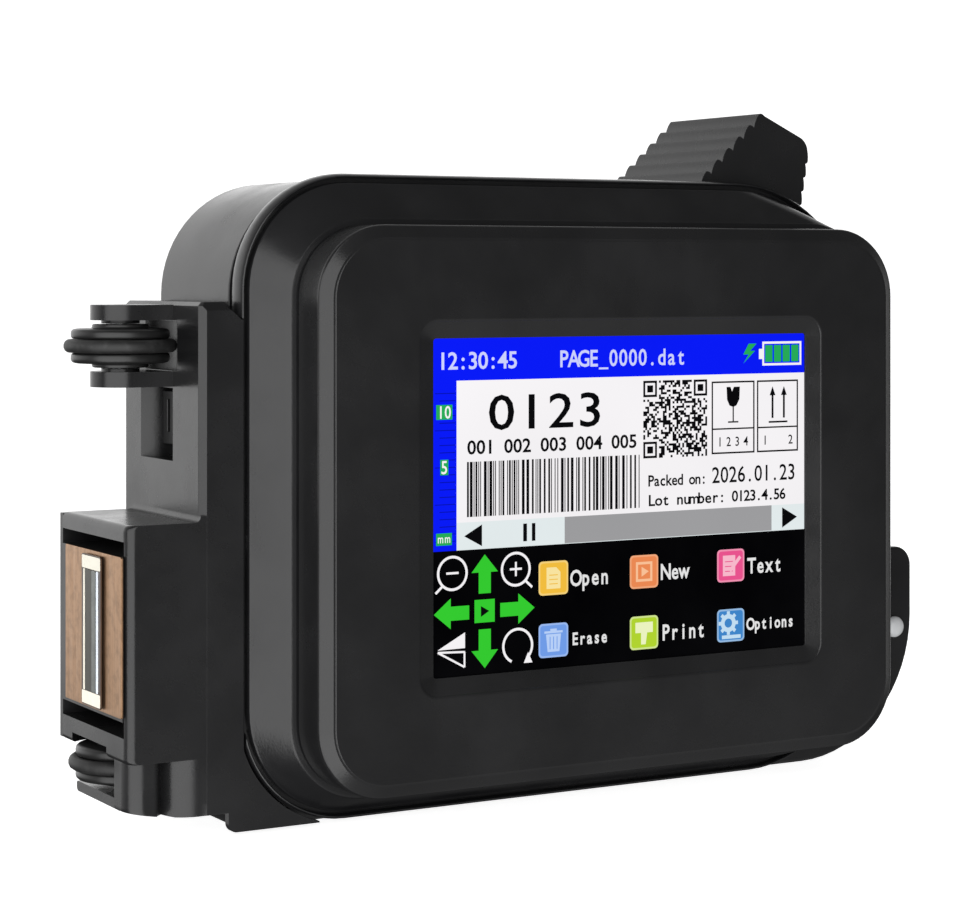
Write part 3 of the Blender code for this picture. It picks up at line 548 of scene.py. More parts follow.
def make_front_shell():
    rim = corners_of(RIM, RIM_R)
    panel = corners_of(PANEL, [PANEL_R] * 4)
    opening = corners_of((-10.0, 80.0, -9.0, 61.0), [4.0] * 4)
    rings = []
    middle = (RIM_FRONT + RIM_BACK) / 2
    half = (RIM_BACK - RIM_FRONT) / 2
    for k in range(13):
        a = math.radians(90 - 15 * k)
        rings.append(at_y(rounded(inset(rim, BEAD_SINK * (1 - math.cos(a)))), middle + half * math.sin(a)))
    rings.append(at_y(rounded(inset(rim, 0.75)), RIM_FRONT + 0.25))
    rings.append(at_y(rounded(inset(rim, 0.8)), RIM_FRONT + 1.6))
    rings.append(at_y(rounded(inset(rim, 1.45)), RIM_FRONT + 1.6))
    rings.append(at_y(rounded(inset(rim, 1.45)), RIM_FRONT + 0.25))
    rings.append(at_y(rounded(inset(rim, 1.55)), RIM_FRONT - 0.10))
    rings.append(at_y(rounded(inset(rim, 1.80)), RIM_FRONT - 0.38))
    rings.append(at_y(rounded(inset(panel, -1.25)), PLATEAU + 0.55))
    rings.append(at_y(rounded(inset(panel, -1.0)), PLATEAU + 0.3))
    rings.append(at_y(rounded(inset(panel, -0.6)), PLATEAU + 0.2))
    rings.append(at_y(rounded(opening), PLATEAU + 0.05))
    rings.append(at_y(rounded(opening), PLATEAU + 1.6))
    rings.append(at_y(rounded(inset(panel, 1.2)), PLATEAU + 1.6))
    rings.append(at_y(rounded(inset(rim, 4.0)), RIM_FRONT + 1.5))
    rings.append(at_y(rounded(inset(rim, 4.0)), RIM_BACK))
    obj = loft("flared_ring", rings, None, ring_closed=True, angle=24)
    right = HOUSE[0] + GROOVE
    (left_x, left_z), (right_x, right_z) = HEAD_MITRE
    slope = (right_z - left_z) / (right_x - left_x)
    outline = [(SNOUT_LEFT, BASE - 2), (right, BASE - 2), (right, left_z + slope * (right - left_x) + 0.4)]
    outline += [(left_x, left_z + 0.4), (SNOUT_LEFT, left_z + 0.4)]
    notch = prism("cut_notch", at_y, outline, RIM_FRONT - 0.2, RIM_BACK + 1, None)
    combine(obj, "DIFFERENCE", notch)
    obj.data.materials.clear()
    obj.data.materials.append(SHELL)
    obj.data.shade_smooth()
    obj.data.set_sharp_from_angle(angle=math.radians(24))
    return dress(even(obj), BODY["front_shell"], "black_abs", "front_shell")


def housing_outline(depth=0.0):
    step_x, step_z = STEP
    corners = [
        (HOUSE[0], BASE, 2.5),
        (step_x - GAP, BASE, 1.0),
        (step_x - GAP, step_z, 1.0),
        (HOUSE[1], step_z, 2.0),
        (HOUSE[1], HOUSE[3], HOUSE_TOP_R),
        (HOUSE[0], HOUSE[3], 18.3),
    ]
    return inset(corners, depth) if depth else corners


def restore(obj, look, angle=28):
    """A single material and even shading after a Boolean."""
    obj.data.materials.clear()
    obj.data.materials.append(look)
    for polygon in obj.data.polygons:
        polygon.material_index = 0
    obj.data.shade_smooth()
    obj.data.set_sharp_from_angle(angle=math.radians(angle))
    return even(obj)


def make_housing():
    front = RIM_BACK + GAP
    inner_back = REAR - 2.0
    rings = [
        at_y(rounded(housing_outline(2.2)), inner_back),
        at_y(rounded(housing_outline(2.2)), front),
        at_y(rounded(housing_outline(0.25)), front),
        at_y(rounded(housing_outline(0.07)), front + 0.07),
        at_y(rounded(housing_outline()), front + 0.25),
    ]
    rings += round_over(housing_outline(), (0, REAR - 1.6), (1.6, REAR), 8)
    obj = loft("rear_case", rings, SHELL)
    cutters = []
    low, high = -20.5 - 0.4, 50.4
    bay = [(-23.7, low, 1.5), (24.4, low, 1.5), (24.4, high, 1.5), (-23.7, high, 1.5)]
    cutters.append(prism("cut_bay", at_y, rounded(bay, 4), inner_back - 1, REAR + 2, None))
    cutters.append(
        block("cut_bay_side", (HOUSE[0] - 3, front - 2, WINDOW[0]), (HOUSE[0] + 6, REAR + 2, WINDOW[1]), None)
    )
    px, pz = PIVOT
    cutters.append(block("cut_lever_slot", (px - 5.2, 19.4, pz + 10), (px + 15.0, 43.6, HOUSE[3] + 3), None))
    for name, r in (("print_button", 6.5), ("power_button", 3.2), ("dc_socket", 3.0)):
        low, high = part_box(name)
        centre = (low + high) / 2 / MM - DATUM
        hole = [(r + GAP, -6), (r + GAP, -0.35), (r + GAP + 0.35, 0), (r + GAP + 0.4, 6)]
        cutters.append(turned("cut_" + name, hole, (HOUSE[1], centre.y, centre.z), "X", None, 64))
    low, high = (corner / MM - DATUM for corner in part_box("usb_socket"))
    usb = [(low.y - GAP, low.z - GAP, 0.4), (high.y + GAP, low.z - GAP, 0.4)]
    usb += [(high.y + GAP, high.z + GAP, 0.4), (low.y - GAP, high.z + GAP, 0.4)]
    cutters.append(prism("cut_usb", at_x, rounded(usb, 4), HOUSE[1] - 6, HOUSE[1] + 6, None))
    for k in range(1, 5):
        low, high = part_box(f"case_screw_{k}")
        centre = (low + high) / 2 / MM - DATUM
        hole = [(2.9, -4), (2.9, 1.75), (3.15, 2.0), (3.15, 4)]
        cutters.append(turned(f"cut_screw_{k}", hole, (centre.x, inner_back, centre.z), "Y", None, 48))
    combine(obj, "DIFFERENCE", *cutters)
    restore(obj, SHELL)
    return dress(obj, BODY["rear_housing"], "black_abs", "rear_housing")


def make_battery():
    step_x, step_z = STEP
    pack = [(step_x, BASE, 1.0), (PACK_RIGHT, BASE, PACK_R), (PACK_RIGHT, PACK_TOP, 3.4), (step_x, PACK_TOP, 1.0)]
    front = RIM_BACK + GAP
    rings = list(reversed(round_over(pack, (0, front + 0.5), (0.5, front), 4)))
    rings += round_over(pack, (0, REAR - 1.6), (1.6, REAR), 8)
    obj = loft("battery_case", rings, SHELL)
    return dress(even(obj), BODY["battery_pack"], "black_abs", "battery_pack")


# ---------------------------------------------------------------- print head
def make_snout(right):
    """The box round the nozzles, with a rounded left front edge and a tight inner corner at the upright."""
    low, high = SNOUT
    front = HEAD_FRONT + FLUSH
    rings = []
    for k in range(8):
        a = math.radians(90 * k / 7)
        left = SNOUT_LEFT + 1.5 * (1 - math.sin(a))
        profile = [(left, low, 0.8), (right - 1, low, 0), (right - 1, high + 1, 0)]
        profile += [(HEAD_LEFT, high + 1, 0), (HEAD_LEFT, high, 0.9), (left, high, 1.0)]
        rings.append(at_y(rounded(profile, 10), front + 1.5 * (1 - math.cos(a))))
    rings.append(at_y(rounded(profile, 10), SNOUT_BACK))
    return loft("add_snout", rings, None)


def foot_outline(right, left):
    """Points (x, y) of the foot seen from above: two rounded lobes in front of the wheel."""
    front = HEAD_FRONT + 2 * FLUSH
    near_x = FOOT_LEFT + 11.5
    far_r = min(FAR_LOBE_R, FOOT_LEFT + 4.1 - left)
    points = [(right - 1, front)] + arc(near_x, front + NEAR_LOBE_R, NEAR_LOBE_R, 270, 205, 24)
    points += arc(FOOT_LEFT + 4.2, front + 1.25, 0.9, 350, 270, 10)
    points += arc(left + far_r, front + 0.35 + far_r, far_r, 270, 180, 20)
    inner = HEAD_LEFT - 0.1
    return points + [(left, 19.8), (inner, 19.8), (inner, HEAD_BACK - 1), (right - 1, HEAD_BACK - 1)]


def make_foot(right):
    low = HEAD_LOW + FLUSH
    rings = []
    for k in range(7):
        a = math.radians(90 * k / 6)
        left = FOOT_LEFT + 2.0 * (1 - math.sin(a))
        rings.append(at_z(foot_outline(right, left), low + 2.0 * (1 - math.cos(a))))
    rings.append(at_z(foot_outline(right, FOOT_LEFT), SNOUT[0] + 1.0))
    foot = loft("add_foot", rings, None)
    start, slope = FOOT_RISE
    end = FOOT_LEFT - 1
    wedge = [(end, low - 1), (start + 1, low - 1), (start + 1, low - slope), (end, low + slope * (start - end))]
    return combine(foot, "DIFFERENCE", prism("cut_foot_rise", at_y, wedge, HEAD_FRONT - 1, 25, None))


def make_shelf():
    """The shelf under the lower wheel."""
    profile = [(18.6, SHELF_LOW, 0), (FOOT_BACK, SHELF_LOW, 0.7), (FOOT_BACK, FOOT_TOP, 0.5), (18.6, FOOT_TOP, 0)]
    return prism("add_shelf", at_x, rounded(profile, 8), FOOT_LEFT + 0.4, HEAD_LEFT + 1.5, None)


def make_ears():
    """The two rounded plates that hold the upper wheel, each with a boss round the axle."""
    ears = []
    for name, side in (("add_ear_high", 1), ("add_ear_low", -1)):
        near = UPPER_Z + side * EAR_GAP / 2
        far = near + side * EAR
        root = HEAD_LEFT + 1.5
        outline = arc(ROLLER_X, ROLLER_Y, EAR_R, 90, 270, 40)
        outline += [(root, ROLLER_Y - EAR_R), (root, ROLLER_Y + EAR_R)]
        ears.append(prism(name, at_z, outline, min(near, far), max(near, far), None))
        ends = sorted((near + side * 0.2, near - side * EAR_BOSS))
        boss = [(3.0, ends[0] - UPPER_Z), (3.0, ends[1] - UPPER_Z)]
        ears.append(turned(name + "_boss", boss, (ROLLER_X, ROLLER_Y, UPPER_Z), "Z", None, 64))
    return ears


def make_web():
    """The corner under the head that follows the rim's curve down."""
    corner_x = RIM[0] + RIM_R[0]
    corner_z = RIM[2] + RIM_R[0]
    curve = arc(corner_x, corner_z, RIM_R[0] + GAP, 190, 255, 24)
    web = curve + [(curve[-1][0], WEB_LOW)]
    web += arc(WEB_LEFT + 1.4, WEB_LOW + 1.4, 1.4, 270, 180, 10)
    web.append((WEB_LEFT, curve[0][1]))
    return prism("add_corner_web", at_y, web, HEAD_FRONT + 2 * FLUSH, HEAD_FRONT + WEB_DEPTH, None)


def bevel_cutter():
    """What the sloping bevel takes off the front of the head's top."""
    corner = [(HEAD_FRONT - 0.9, HEAD_TOP - 2.6), (HEAD_FRONT + 1.8, HEAD_TOP + 1.3), (HEAD_FRONT - 0.9, HEAD_TOP + 1.3)]
    return prism("cut_bevel", at_x, corner, HEAD_LEFT - 1, HOUSE[0] + 2, None)


def make_head():
    """The print head: upright body with a chamfered edge, snout, roller ears and foot."""
    right = HOUSE[0] - GAP
    inside = HOUSE[0] + GROOVE - GAP
    outline = [
        (HEAD_LEFT, HEAD_FRONT + 1.0, 0.12),
        (HEAD_LEFT + 1.0, HEAD_FRONT, 0.12),
        (inside, HEAD_FRONT, 0.3),
        (inside, RIM_BACK, 0.3),
        (right, RIM_BACK, 0.3),
        (right, HEAD_BACK, 0.3),
        (HEAD_LEFT, HEAD_BACK, 1.0),
    ]
    edge = at_z(rounded(outline, 5), HEAD_TOP - 0.6)
    top = at_z(rounded(inset(outline, 0.6), 5), HEAD_TOP)
    body = loft("head_case", [at_z(rounded(outline, 5), HEAD_LOW), edge, top], None)
    combine(body, "UNION", make_snout(right), make_foot(right), make_shelf(), make_web(), *make_ears())
    pocket_r = RING_R + POCKET_CLEAR
    half = EAR_GAP / 2 - 0.1
    pocket = [(pocket_r, -half), (pocket_r, half)]
    low_pocket = [(pocket_r, FOOT_TOP + FLUSH - LOWER_Z), (pocket_r, POCKET_TOP - LOWER_Z)]
    upper_hole = [(AXLE_R + 0.15, -9), (AXLE_R + 0.15, 9)]
    lower_hole = [(AXLE_R + 0.15, -8), (AXLE_R + 0.15, 5.2)]
    slope_high = HEAD_TOP + 4
    mitre = [HEAD_MITRE[0], HEAD_MITRE[1], (HEAD_MITRE[1][0], slope_high), (HEAD_MITRE[0][0], slope_high)]
    window_low = (SNOUT_LEFT - 2, WINDOW_FRONT, WINDOW[0])
    y0, y1 = SLOT_Y
    far_y = y1 - SLOT_SLANT
    slot = [(HEAD_LEFT - 2, y0), (SLOT_FLOOR, y0), (SLOT_FLOOR, far_y), (HEAD_LEFT + 2.6, far_y)]
    slot.append((HEAD_LEFT - 2, y1 + 1.0))
    hollow = turned("cut_pocket", pocket, (ROLLER_X, ROLLER_Y, UPPER_Z), "Z", None, 80)
    keep = turned("keep_bosses", [(3.4, -half), (3.4, half)], (ROLLER_X, ROLLER_Y, UPPER_Z), "Z", None, 64)
    combine(hollow, "DIFFERENCE", keep)
    cuts = [
        prism("cut_mitre", at_y, mitre, HEAD_FRONT - 1, RIM_BACK, None),
        bevel_cutter(),
        block("cut_window", window_low, (right + 2, HEAD_BACK + 2, WINDOW[1]), None),
        hollow,
        turned("cut_low_pocket", low_pocket, (LOWER_X, ROLLER_Y, LOWER_Z), "Z", None, 80),
        prism("cut_slot", at_z, slot, SLOT_Z[0], SLOT_Z[1], None),
        turned("cut_upper_axle", upper_hole, (ROLLER_X, ROLLER_Y, UPPER_Z), "Z", None, 32),
        turned("cut_lower_axle", lower_hole, (LOWER_X, ROLLER_Y, LOWER_Z), "Z", None, 32),
    ]
    combine(body, "DIFFERENCE", *cuts)
    restore(body, HEAD_SKIN)
    soften(body, 0.22, 3)
    return dress(body, BODY["head_block"], "head_abs", "head_block")


# ---------------------------------------------------------------- rollers
def make_roller(name, x, z):
    """A moulded wheel with two flanges, hubs and a rubber ring in its groove."""
    bore = AXLE_R + 0.15
    side = [
        (bore, 3.38), (HUB_R - 0.25, 3.38), (HUB_R - 0.07, 3.32), (HUB_R, 3.15), (HUB_R, 2.95),
        (HUB_R + 0.1, 2.82), (HUB_R + 0.35, 2.75), (WHEEL_R - 0.85, 2.7), (WHEEL_R - 0.35, 2.58),
        (WHEEL_R - 0.1, 2.35), (WHEEL_R, 2.0), (WHEEL_R - 0.04, 1.45), (WHEEL_R - 0.2, 1.2),
        (WHEEL_R - 0.6, 1.1), (RING_R - 2.2, 1.08),
    ]
    profile = side + [(r, -h) for r, h in reversed(side)]
    wheel = turned(f"{name}_roller", profile, (x, ROLLER_Y, z), "Z", ROLLER_SKIN, ring_closed=True)
    dress(even(wheel), BODY[f"{name}_wheel"], "roller_nylon", f"{name}_wheel")
    bead = [(RING_R - 1.9, 0.8), (RING_R - 1.1, 1.05), (RING_R - 0.6, 1.0), (RING_R - 0.2, 0.7), (RING_R, 0.25)]
    bead += [(r, -h) for r, h in reversed(bead)]
    ring = turned(f"{name}_bead", bead, (x, ROLLER_Y, z), "Z", RING_SKIN, ring_closed=True)
    dress(ring, BODY[f"{name}_ring"], "ring_rubber", f"{name}_ring")


# ---------------------------------------------------------------- nozzle
def make_nozzle():
    """Copper foil over the cartridge's nose, and the nozzle strip: pale ends, dark frame and a glossy band."""
    low, high = at_datum("nozzle_plate")
    foil = [(low.y, low.z, 0.3), (high.y, low.z, 0.3), (high.y, high.z, 0.3), (low.y, high.z, 0.3)]
    plate = prism("foil_plate", at_x, rounded(foil, 5), low.x, high.x, COPPER)
    soften(plate, 0.08, 2)
    dress(plate, BODY["nozzle_plate"], "nozzle_copper", "nozzle_plate")
    low, high = at_datum("nozzle_strip")
    base = rounded(corners_of((low.y, high.y, low.z, high.z), [0.5] * 4), 6)
    strip = prism("strip_base", at_x, base, low.x + 0.15, high.x, STRIP_BROWN)
    dress(strip, BODY["nozzle_strip"], "nozzle_gold", "nozzle_strip")
    middle = (low.z + STRIP_END + 0.1, high.z - STRIP_END - 0.1)
    pieces = (
        ("strip_end_low", (low.y + 0.2, high.y - 0.2, low.z + 0.2, low.z + STRIP_END), 0.10, EPOXY),
        ("strip_end_high", (low.y + 0.2, high.y - 0.2, high.z - STRIP_END, high.z - 0.2), 0.10, EPOXY),
        ("strip_line_front", (low.y + 1.0, low.y + 1.7, *middle), 0.04, EPOXY_BLUE),
        ("nozzle_die_front", (low.y + 1.9, low.y + 3.5, *middle), 0.0, DIE_GREY),
        ("nozzle_die", (low.y + 3.5, high.y - 1.7, *middle), 0.0, DIE),
        ("strip_line_back", (high.y - 1.5, high.y - 0.9, *middle), 0.04, EPOXY),
    )
    for name, (y0, y1, z0, z1), back, look in pieces:
        shape = rounded(corners_of((y0, y1, z0, z1), [0.2] * 4), 4)
        piece = prism(name, at_x, shape, low.x + back, low.x + 0.2, look)
        soften(piece, 0.05, 2)
        dress(piece, BODY["nozzle_strip"], "nozzle_gold")


# ---------------------------------------------------------------- lever
def saw_tooth(start, stop, count, depth):
    """Points from start to stop with count softened saw-tooth ridges standing out to the left of the way."""
    a = Vector(start)
    b = Vector(stop)
    out = Vector((-(b - a).y, (b - a).x)).normalized() * depth
    points = []
    for k in range(count):
        for along, height in ((0.0, 0.0), (0.25, 0.5), (0.5, 0.83), (0.7, 0.98), (0.83, 1.0), (0.92, 0.8), (0.98, 0.4)):
            points.append(tuple(a + (b - a) * (k + along) / count + out * height))
    points.append(tuple(b))
    return points


def make_lever():
    px, pz = PIVOT
    sole_r = HOUSE_TOP_R + GAP
    sole = arc(px, pz, sole_r, 90, 57, 20)
    right_low = sole[-1]
    left_low = (px - 7.6, pz + sole_r)
    peak = (px + 6.0, pz + sole_r + 12.4)
    shoulder = arc(px + 12.6, pz + 30.9, 2.8, 64, 8, 12)
    right = saw_tooth(shoulder[-1], (right_low[0] + 0.2, right_low[1] + 0.8), 4, 0.45)
    left = saw_tooth(left_low, peak, 6, 1.0)
    outline = [left_low] + sole + right[::-1][:-1] + shoulder[::-1] + [peak] + left[::-1][1:-1]
    head = prism("lever_head", at_y, outline, LEVER_Y[0], LEVER_Y[1], None)
    stem_outline = [(px - 4.6, pz), (px + 4.6, pz), (px + 5.8, pz + sole_r + 1), (px - 4.6, pz + sole_r + 1)]
    stem = prism("add_stem", at_y, stem_outline, 20.0, 43.0, None)
    hub = turned("add_hub", [(5.0, 0), (5.0, 12.0)], (px, 23.0, pz), "Y", None, 48)
    relief = block("cut_stem", (px - 9, 35.3, pz - 9), (px + 9, 44.0, pz + 8), None)
    bore = turned("cut_bore", [(2.15, -2), (2.15, 30)], (px, 20.0, pz), "Y", None, 40)
    combine(head, "UNION", stem, hub)
    combine(head, "DIFFERENCE", relief, bore)
    restore(head, HEAD_SKIN, 24)
    soften(head, 0.16, 3, 26, 40)
    return dress(head, BODY["lock_lever"], "head_abs", "lock_lever")


# ---------------------------------------------------------------- the display's picture
PICTURE_Y = 1.14     # the lit layer, just behind the lip of the bezel
LAYER = 0.012        # each layer of the picture stands this much in front of the last
WHITE = (0.95, 0.93, 0.95)
INK = (0.004, 0.004, 0.005)


class Picture:
    """Flat shapes for the lit picture, gathered by colour into one mesh."""

    def __init__(self):
        self.bm = bmesh.new()
        self.looks = []
        self.names = []

    def look(self, name, colour, strength=1.0):
        if name not in self.names:
            self.names.append(name)
            self.looks.append(glow("lit_" + name, colour, strength))
        return self.names.index(name)

    def shape(self, look, points, layer=1):
        y = PICTURE_Y - LAYER * layer
        verts = [self.bm.verts.new((x, y, z)) for x, z in points]
        face = self.bm.faces.new(verts)
        face.material_index = look
        face.normal_update()
        if face.normal.y > 0:
            face.normal_flip()

    def box(self, look, x0, z0, x1, z1, layer=1):
        self.shape(look, [(x0, z0), (x1, z0), (x1, z1), (x0, z1)], layer)

    def frame(self, look, x0, z0, x1, z1, w, layer=1):
        self.box(look, x0, z0, x1, z0 + w, layer)
        self.box(look, x0, z1 - w, x1, z1, layer)
        self.box(look, x0, z0 + w, x0 + w, z1 - w, layer)
        self.box(look, x1 - w, z0 + w, x1, z1 - w, layer)

    def line(self, look, a, b, w, layer=1):
        a = Vector(a)
        b = Vector(b)
        side = (b - a).normalized().orthogonal() * w / 2
        self.shape(look, [tuple(a + side), tuple(a - side), tuple(b - side), tuple(b + side)], layer)

    def ring(self, look, x, z, r, w, first=0, last=360, layer=1):
        outer = arc(x, z, r, first, last, 40)
        inner = arc(x, z, r - w, first, last, 40)
        for k in range(40):
            self.shape(look, [outer[k], outer[k + 1], inner[k + 1], inner[k]], layer)

    def text(self, look, words, x, z, height, pitch, squeeze=1.0, weight=0.02, layer=1):
        """Characters each in its own cell, pitch apart, standing on z."""
        for k, letter in enumerate(words):
            if letter == " ":
                continue
            curve = bpy.data.curves.new("letter", "FONT")
            curve.body = letter
            curve.size = height / 0.69
            curve.offset = weight
            curve.resolution_u = 3
            curve.align_x = "CENTER"
            holder = bpy.data.objects.new("letter", curve)
            bpy.context.scene.collection.objects.link(holder)
            bpy.context.view_layer.update()
            graph = bpy.context.evaluated_depsgraph_get()
            mesh = bpy.data.meshes.new_from_object(holder.evaluated_get(graph))
            centre = x + pitch * (k + 0.5)
            y = PICTURE_Y - LAYER * layer
            made = [self.bm.verts.new((centre + v.co.x * squeeze, y, z + v.co.y)) for v in mesh.vertices]
            for polygon in mesh.polygons:
                face = self.bm.faces.new([made[i] for i in polygon.vertices])
                face.material_index = look
                face.normal_update()
                if face.normal.y > 0:
                    face.normal_flip()
            bpy.data.objects.remove(holder, do_unlink=True)
            bpy.data.curves.remove(curve)
            bpy.data.meshes.remove(mesh)

    def done(self, name):
        for vert in self.bm.verts:
            vert.co = (vert.co + DATUM) * MM
        mesh = bpy.data.meshes.new(name)
        self.bm.to_mesh(mesh)
        self.bm.free()
        obj = bpy.data.objects.new(name, mesh)
        for look in self.looks:
            mesh.materials.append(look)
        bpy.context.scene.collection.objects.link(obj)
        return obj


def draw_status_bar(p):
    blue = p.look("blue", (0.002, 0.010, 0.95))
    pale = p.look("pale", (0.62, 0.66, 1.0))
    green = p.look("green", (0.02, 0.42, 0.10))
    white = p.look("white", WHITE)
    p.box(blue, 0, 46.0, SCREEN_W, SCREEN_H)
    p.text(pale, "12:30:45", 0.9, 47.8, 2.6, 1.8, 1.0, 0.06, 2)
    p.text(pale, "PAGE_0000.dat", 22.9, 47.8, 2.6, 1.88, 0.88, 0.06, 2)
    bolt = [(61.6, 51.0), (60.0, 51.0), (58.9, 49.2), (60.0, 49.2), (58.9, 47.7), (61.3, 49.8), (60.3, 49.8)]
    p.shape(green, bolt, 2)
    p.box(white, 62.1, 48.4, 62.9, 50.1, 2)
    p.frame(white, 62.8, 47.3, 70.9, 51.3, 0.38, 2)
    for k in range(4):
        p.box(green, 63.4 + 1.8 * k, 47.9, 64.9 + 1.8 * k, 50.7, 2)


def draw_ruler(p):
    blue = p.look("blue", (0.002, 0.010, 0.95))
    deep = p.look("deep_blue", (0.0015, 0.006, 0.42))
    green = p.look("green", (0.02, 0.42, 0.10))
    white = p.look("white", WHITE)
    p.box(blue, 0, 19.6, 4.25, 46.0)
    for k in range(21):
        z = 21.0 + 1.15 * k
        p.box(deep, 1.2 if k % 5 else 0.4, z, 4.0, z + 0.14, 2)
    for words, z, height in (("10", 40.2, 1.9), ("5", 31.6, 2.0)):
        half = 0.72 * len(words)
        p.box(green, 2.05 - half, z - 0.2, 2.05 + half, z + height + 0.2, 3)
        p.text(white, words, 2.05 - 0.62 * len(words), z, height, 1.24, 0.85, 0.03, 4)
    p.box(green, 0.6, 20.5, 3.4, 22.4, 3)
    p.text(white, "mm", 0.75, 20.9, 1.3, 1.25, 0.75, 0.02, 4)


def draw_label(p):
    white = p.look("white", WHITE)
    ink = p.look("ink", INK, 0.6)
    p.box(white, 4.25, 23.9, SCREEN_W, 46.0)
    p.text(ink, "0123", 9.6, 38.2, 5.4, 5.5, 1.3, 0.05, 2)
    p.text(ink, "001 002 003 004 005", 6.1, 34.5, 2.1, 1.67, 1.08, 0.06, 2)
    x = 6.1
    while x < 38.2:
        bar = random.choice((0.17, 0.17, 0.34, 0.5))
        p.box(ink, x, 24.7, min(x + bar, 38.4), 33.3, 2)
        x += bar + random.choice((0.17, 0.17, 0.34, 0.5))
    draw_square_code(p, ink, white, 39.0, 32.65, 12.6, 33)
    p.frame(ink, 52.5, 32.85, 61.2, 44.85, 0.28, 2)
    p.frame(ink, 61.7, 32.85, 70.2, 44.85, 0.28, 2)
    p.box(ink, 52.5, 36.85, 61.2, 37.1, 3)
    p.box(ink, 61.7, 36.85, 70.2, 37.1, 3)
    bowl = [(55.5, 43.9), (56.3, 43.9), (56.6, 43.1), (57.0, 43.9), (58.2, 43.9), (58.1, 41.8), (57.5, 40.8)]
    bowl += [(57.0, 40.6), (56.7, 40.6), (56.1, 40.8), (55.6, 41.8)]
    p.shape(ink, bowl, 3)
    p.box(ink, 56.72, 38.2, 56.98, 40.7, 3)
    p.box(ink, 55.8, 37.95, 57.9, 38.2, 3)
    for x in (64.9, 67.25):
        p.box(ink, x - 0.2, 38.5, x + 0.2, 42.6, 3)
        p.shape(ink, [(x - 0.6, 42.3), (x + 0.6, 42.3), (x, 43.8)], 3)
    p.box(ink, 64.1, 37.7, 68.0, 38.0, 3)
    p.text(ink, "1234", 53.3, 34.1, 1.5, 1.75, 0.9, 0.02, 3)
    p.text(ink, "1  2", 62.5, 34.1, 1.5, 1.75, 0.9, 0.02, 3)
    p.text(ink, "Packed on:", 39.9, 28.1, 1.75, 1.16, 0.95, 0.05, 2)
    p.text(ink, "2026.01.23", 52.5, 28.1, 2.6, 1.72, 0.9, 0.03, 2)
    p.text(ink, "Lot number:", 39.9, 24.9, 1.75, 1.4, 1.1, 0.05, 2)
    p.text(ink, "0123.4.56", 56.6, 24.9, 1.75, 1.22, 1.05, 0.05, 2)


def draw_square_code(p, ink, white, x0, z0, side, count):
    """A square pattern of random cells, with a square mark in three corners. It holds no message."""
    cell = side / count
    marks = ((0, count - 7), (count - 7, count - 7), (0, 0))
    for i in range(count):
        for j in range(count):
            near = [a - 1 <= i <= a + 7 and b - 1 <= j <= b + 7 for a, b in marks]
            if not any(near) and random.random() < 0.5:
                p.box(ink, x0 + i * cell, z0 + j * cell, x0 + (i + 1) * cell, z0 + (j + 1) * cell, 2)
    for a, b in marks:
        x = x0 + a * cell
        z = z0 + b * cell
        p.frame(ink, x, z, x + 7 * cell, z + 7 * cell, cell, 2)
        p.box(ink, x + 2 * cell, z + 2 * cell, x + 5 * cell, z + 5 * cell, 2)


def draw_scroll_row(p):
    mist = p.look("mist", (0.80, 0.87, 0.88))
    grey = p.look("grey", (0.35, 0.35, 0.36))
    ink = p.look("ink", INK, 0.6)
    p.box(mist, 4.25, 19.6, SCREEN_W, 23.9)
    p.box(grey, 24.0, 19.7, 64.7, 23.9, 2)
    p.shape(ink, [(5.6, 21.75), (8.8, 20.05), (8.8, 23.45)], 2)
    p.shape(ink, [(66.9, 20.05), (70.0, 21.75), (66.9, 23.45)], 2)
    p.box(ink, 16.3, 20.4, 17.0, 23.2, 2)
    p.box(ink, 17.9, 20.4, 18.55, 23.2, 2)


def draw_arrows(p):
    lime = p.look("arrow_green", (0.035, 0.62, 0.03))
    ink = p.look("ink", INK, 0.6)
    white = p.look("white", WHITE)
    x, z = 9.3, 9.85
    for dx, dz in ((1, 0), (-1, 0), (0, 1), (0, -1)):
        tip = 9.1 if dx else 8.9
        outline = ((2.8, -1.1), (6.1, -1.1), (6.1, -2.4), (tip, 0), (6.1, 2.4), (6.1, 1.1), (2.8, 1.1))
        p.shape(lime, [(x + dx * a - dz * b, z + dx * b + dz * a) for a, b in outline], 2)
    p.box(lime, 7.45, 8.1, 11.1, 11.7, 2)
    p.shape(ink, [(8.6, 9.0), (10.1, 9.85), (8.6, 10.7)], 3)
    for x, way in ((3.5, -1), (14.95, 1)):
        p.ring(white, x, 16.1, 2.75, 0.42, layer=2)
        p.line(white, (x + way * 1.75, 14.2), (x + way * 3.0, 13.1), 0.4, 2)
        p.box(white, x - 1.1, 15.95, x + 1.1, 16.3, 2)
    p.box(white, 14.78, 15.0, 15.12, 17.25, 3)
    p.shape(white, [(0.85, 4.3), (5.75, 4.35), (5.75, 6.8)], 2)
    for a, b in (((0.9, 3.95), (5.7, 3.75)), ((5.65, 3.8), (5.65, 1.35)), ((5.65, 1.4), (0.9, 3.95))):
        p.line(white, a, b, 0.32, 2)
    p.ring(white, 15.3, 4.0, 2.85, 0.42, -40, 245, 2)
    p.shape(white, [(16.4, 1.2), (18.0, 1.2), (17.2, 2.9)], 3)


def rounded_box(x0, z0, x1, z1, r):
    return rounded(corners_of((x0, x1, z0, z1), [r] * 4), 5)


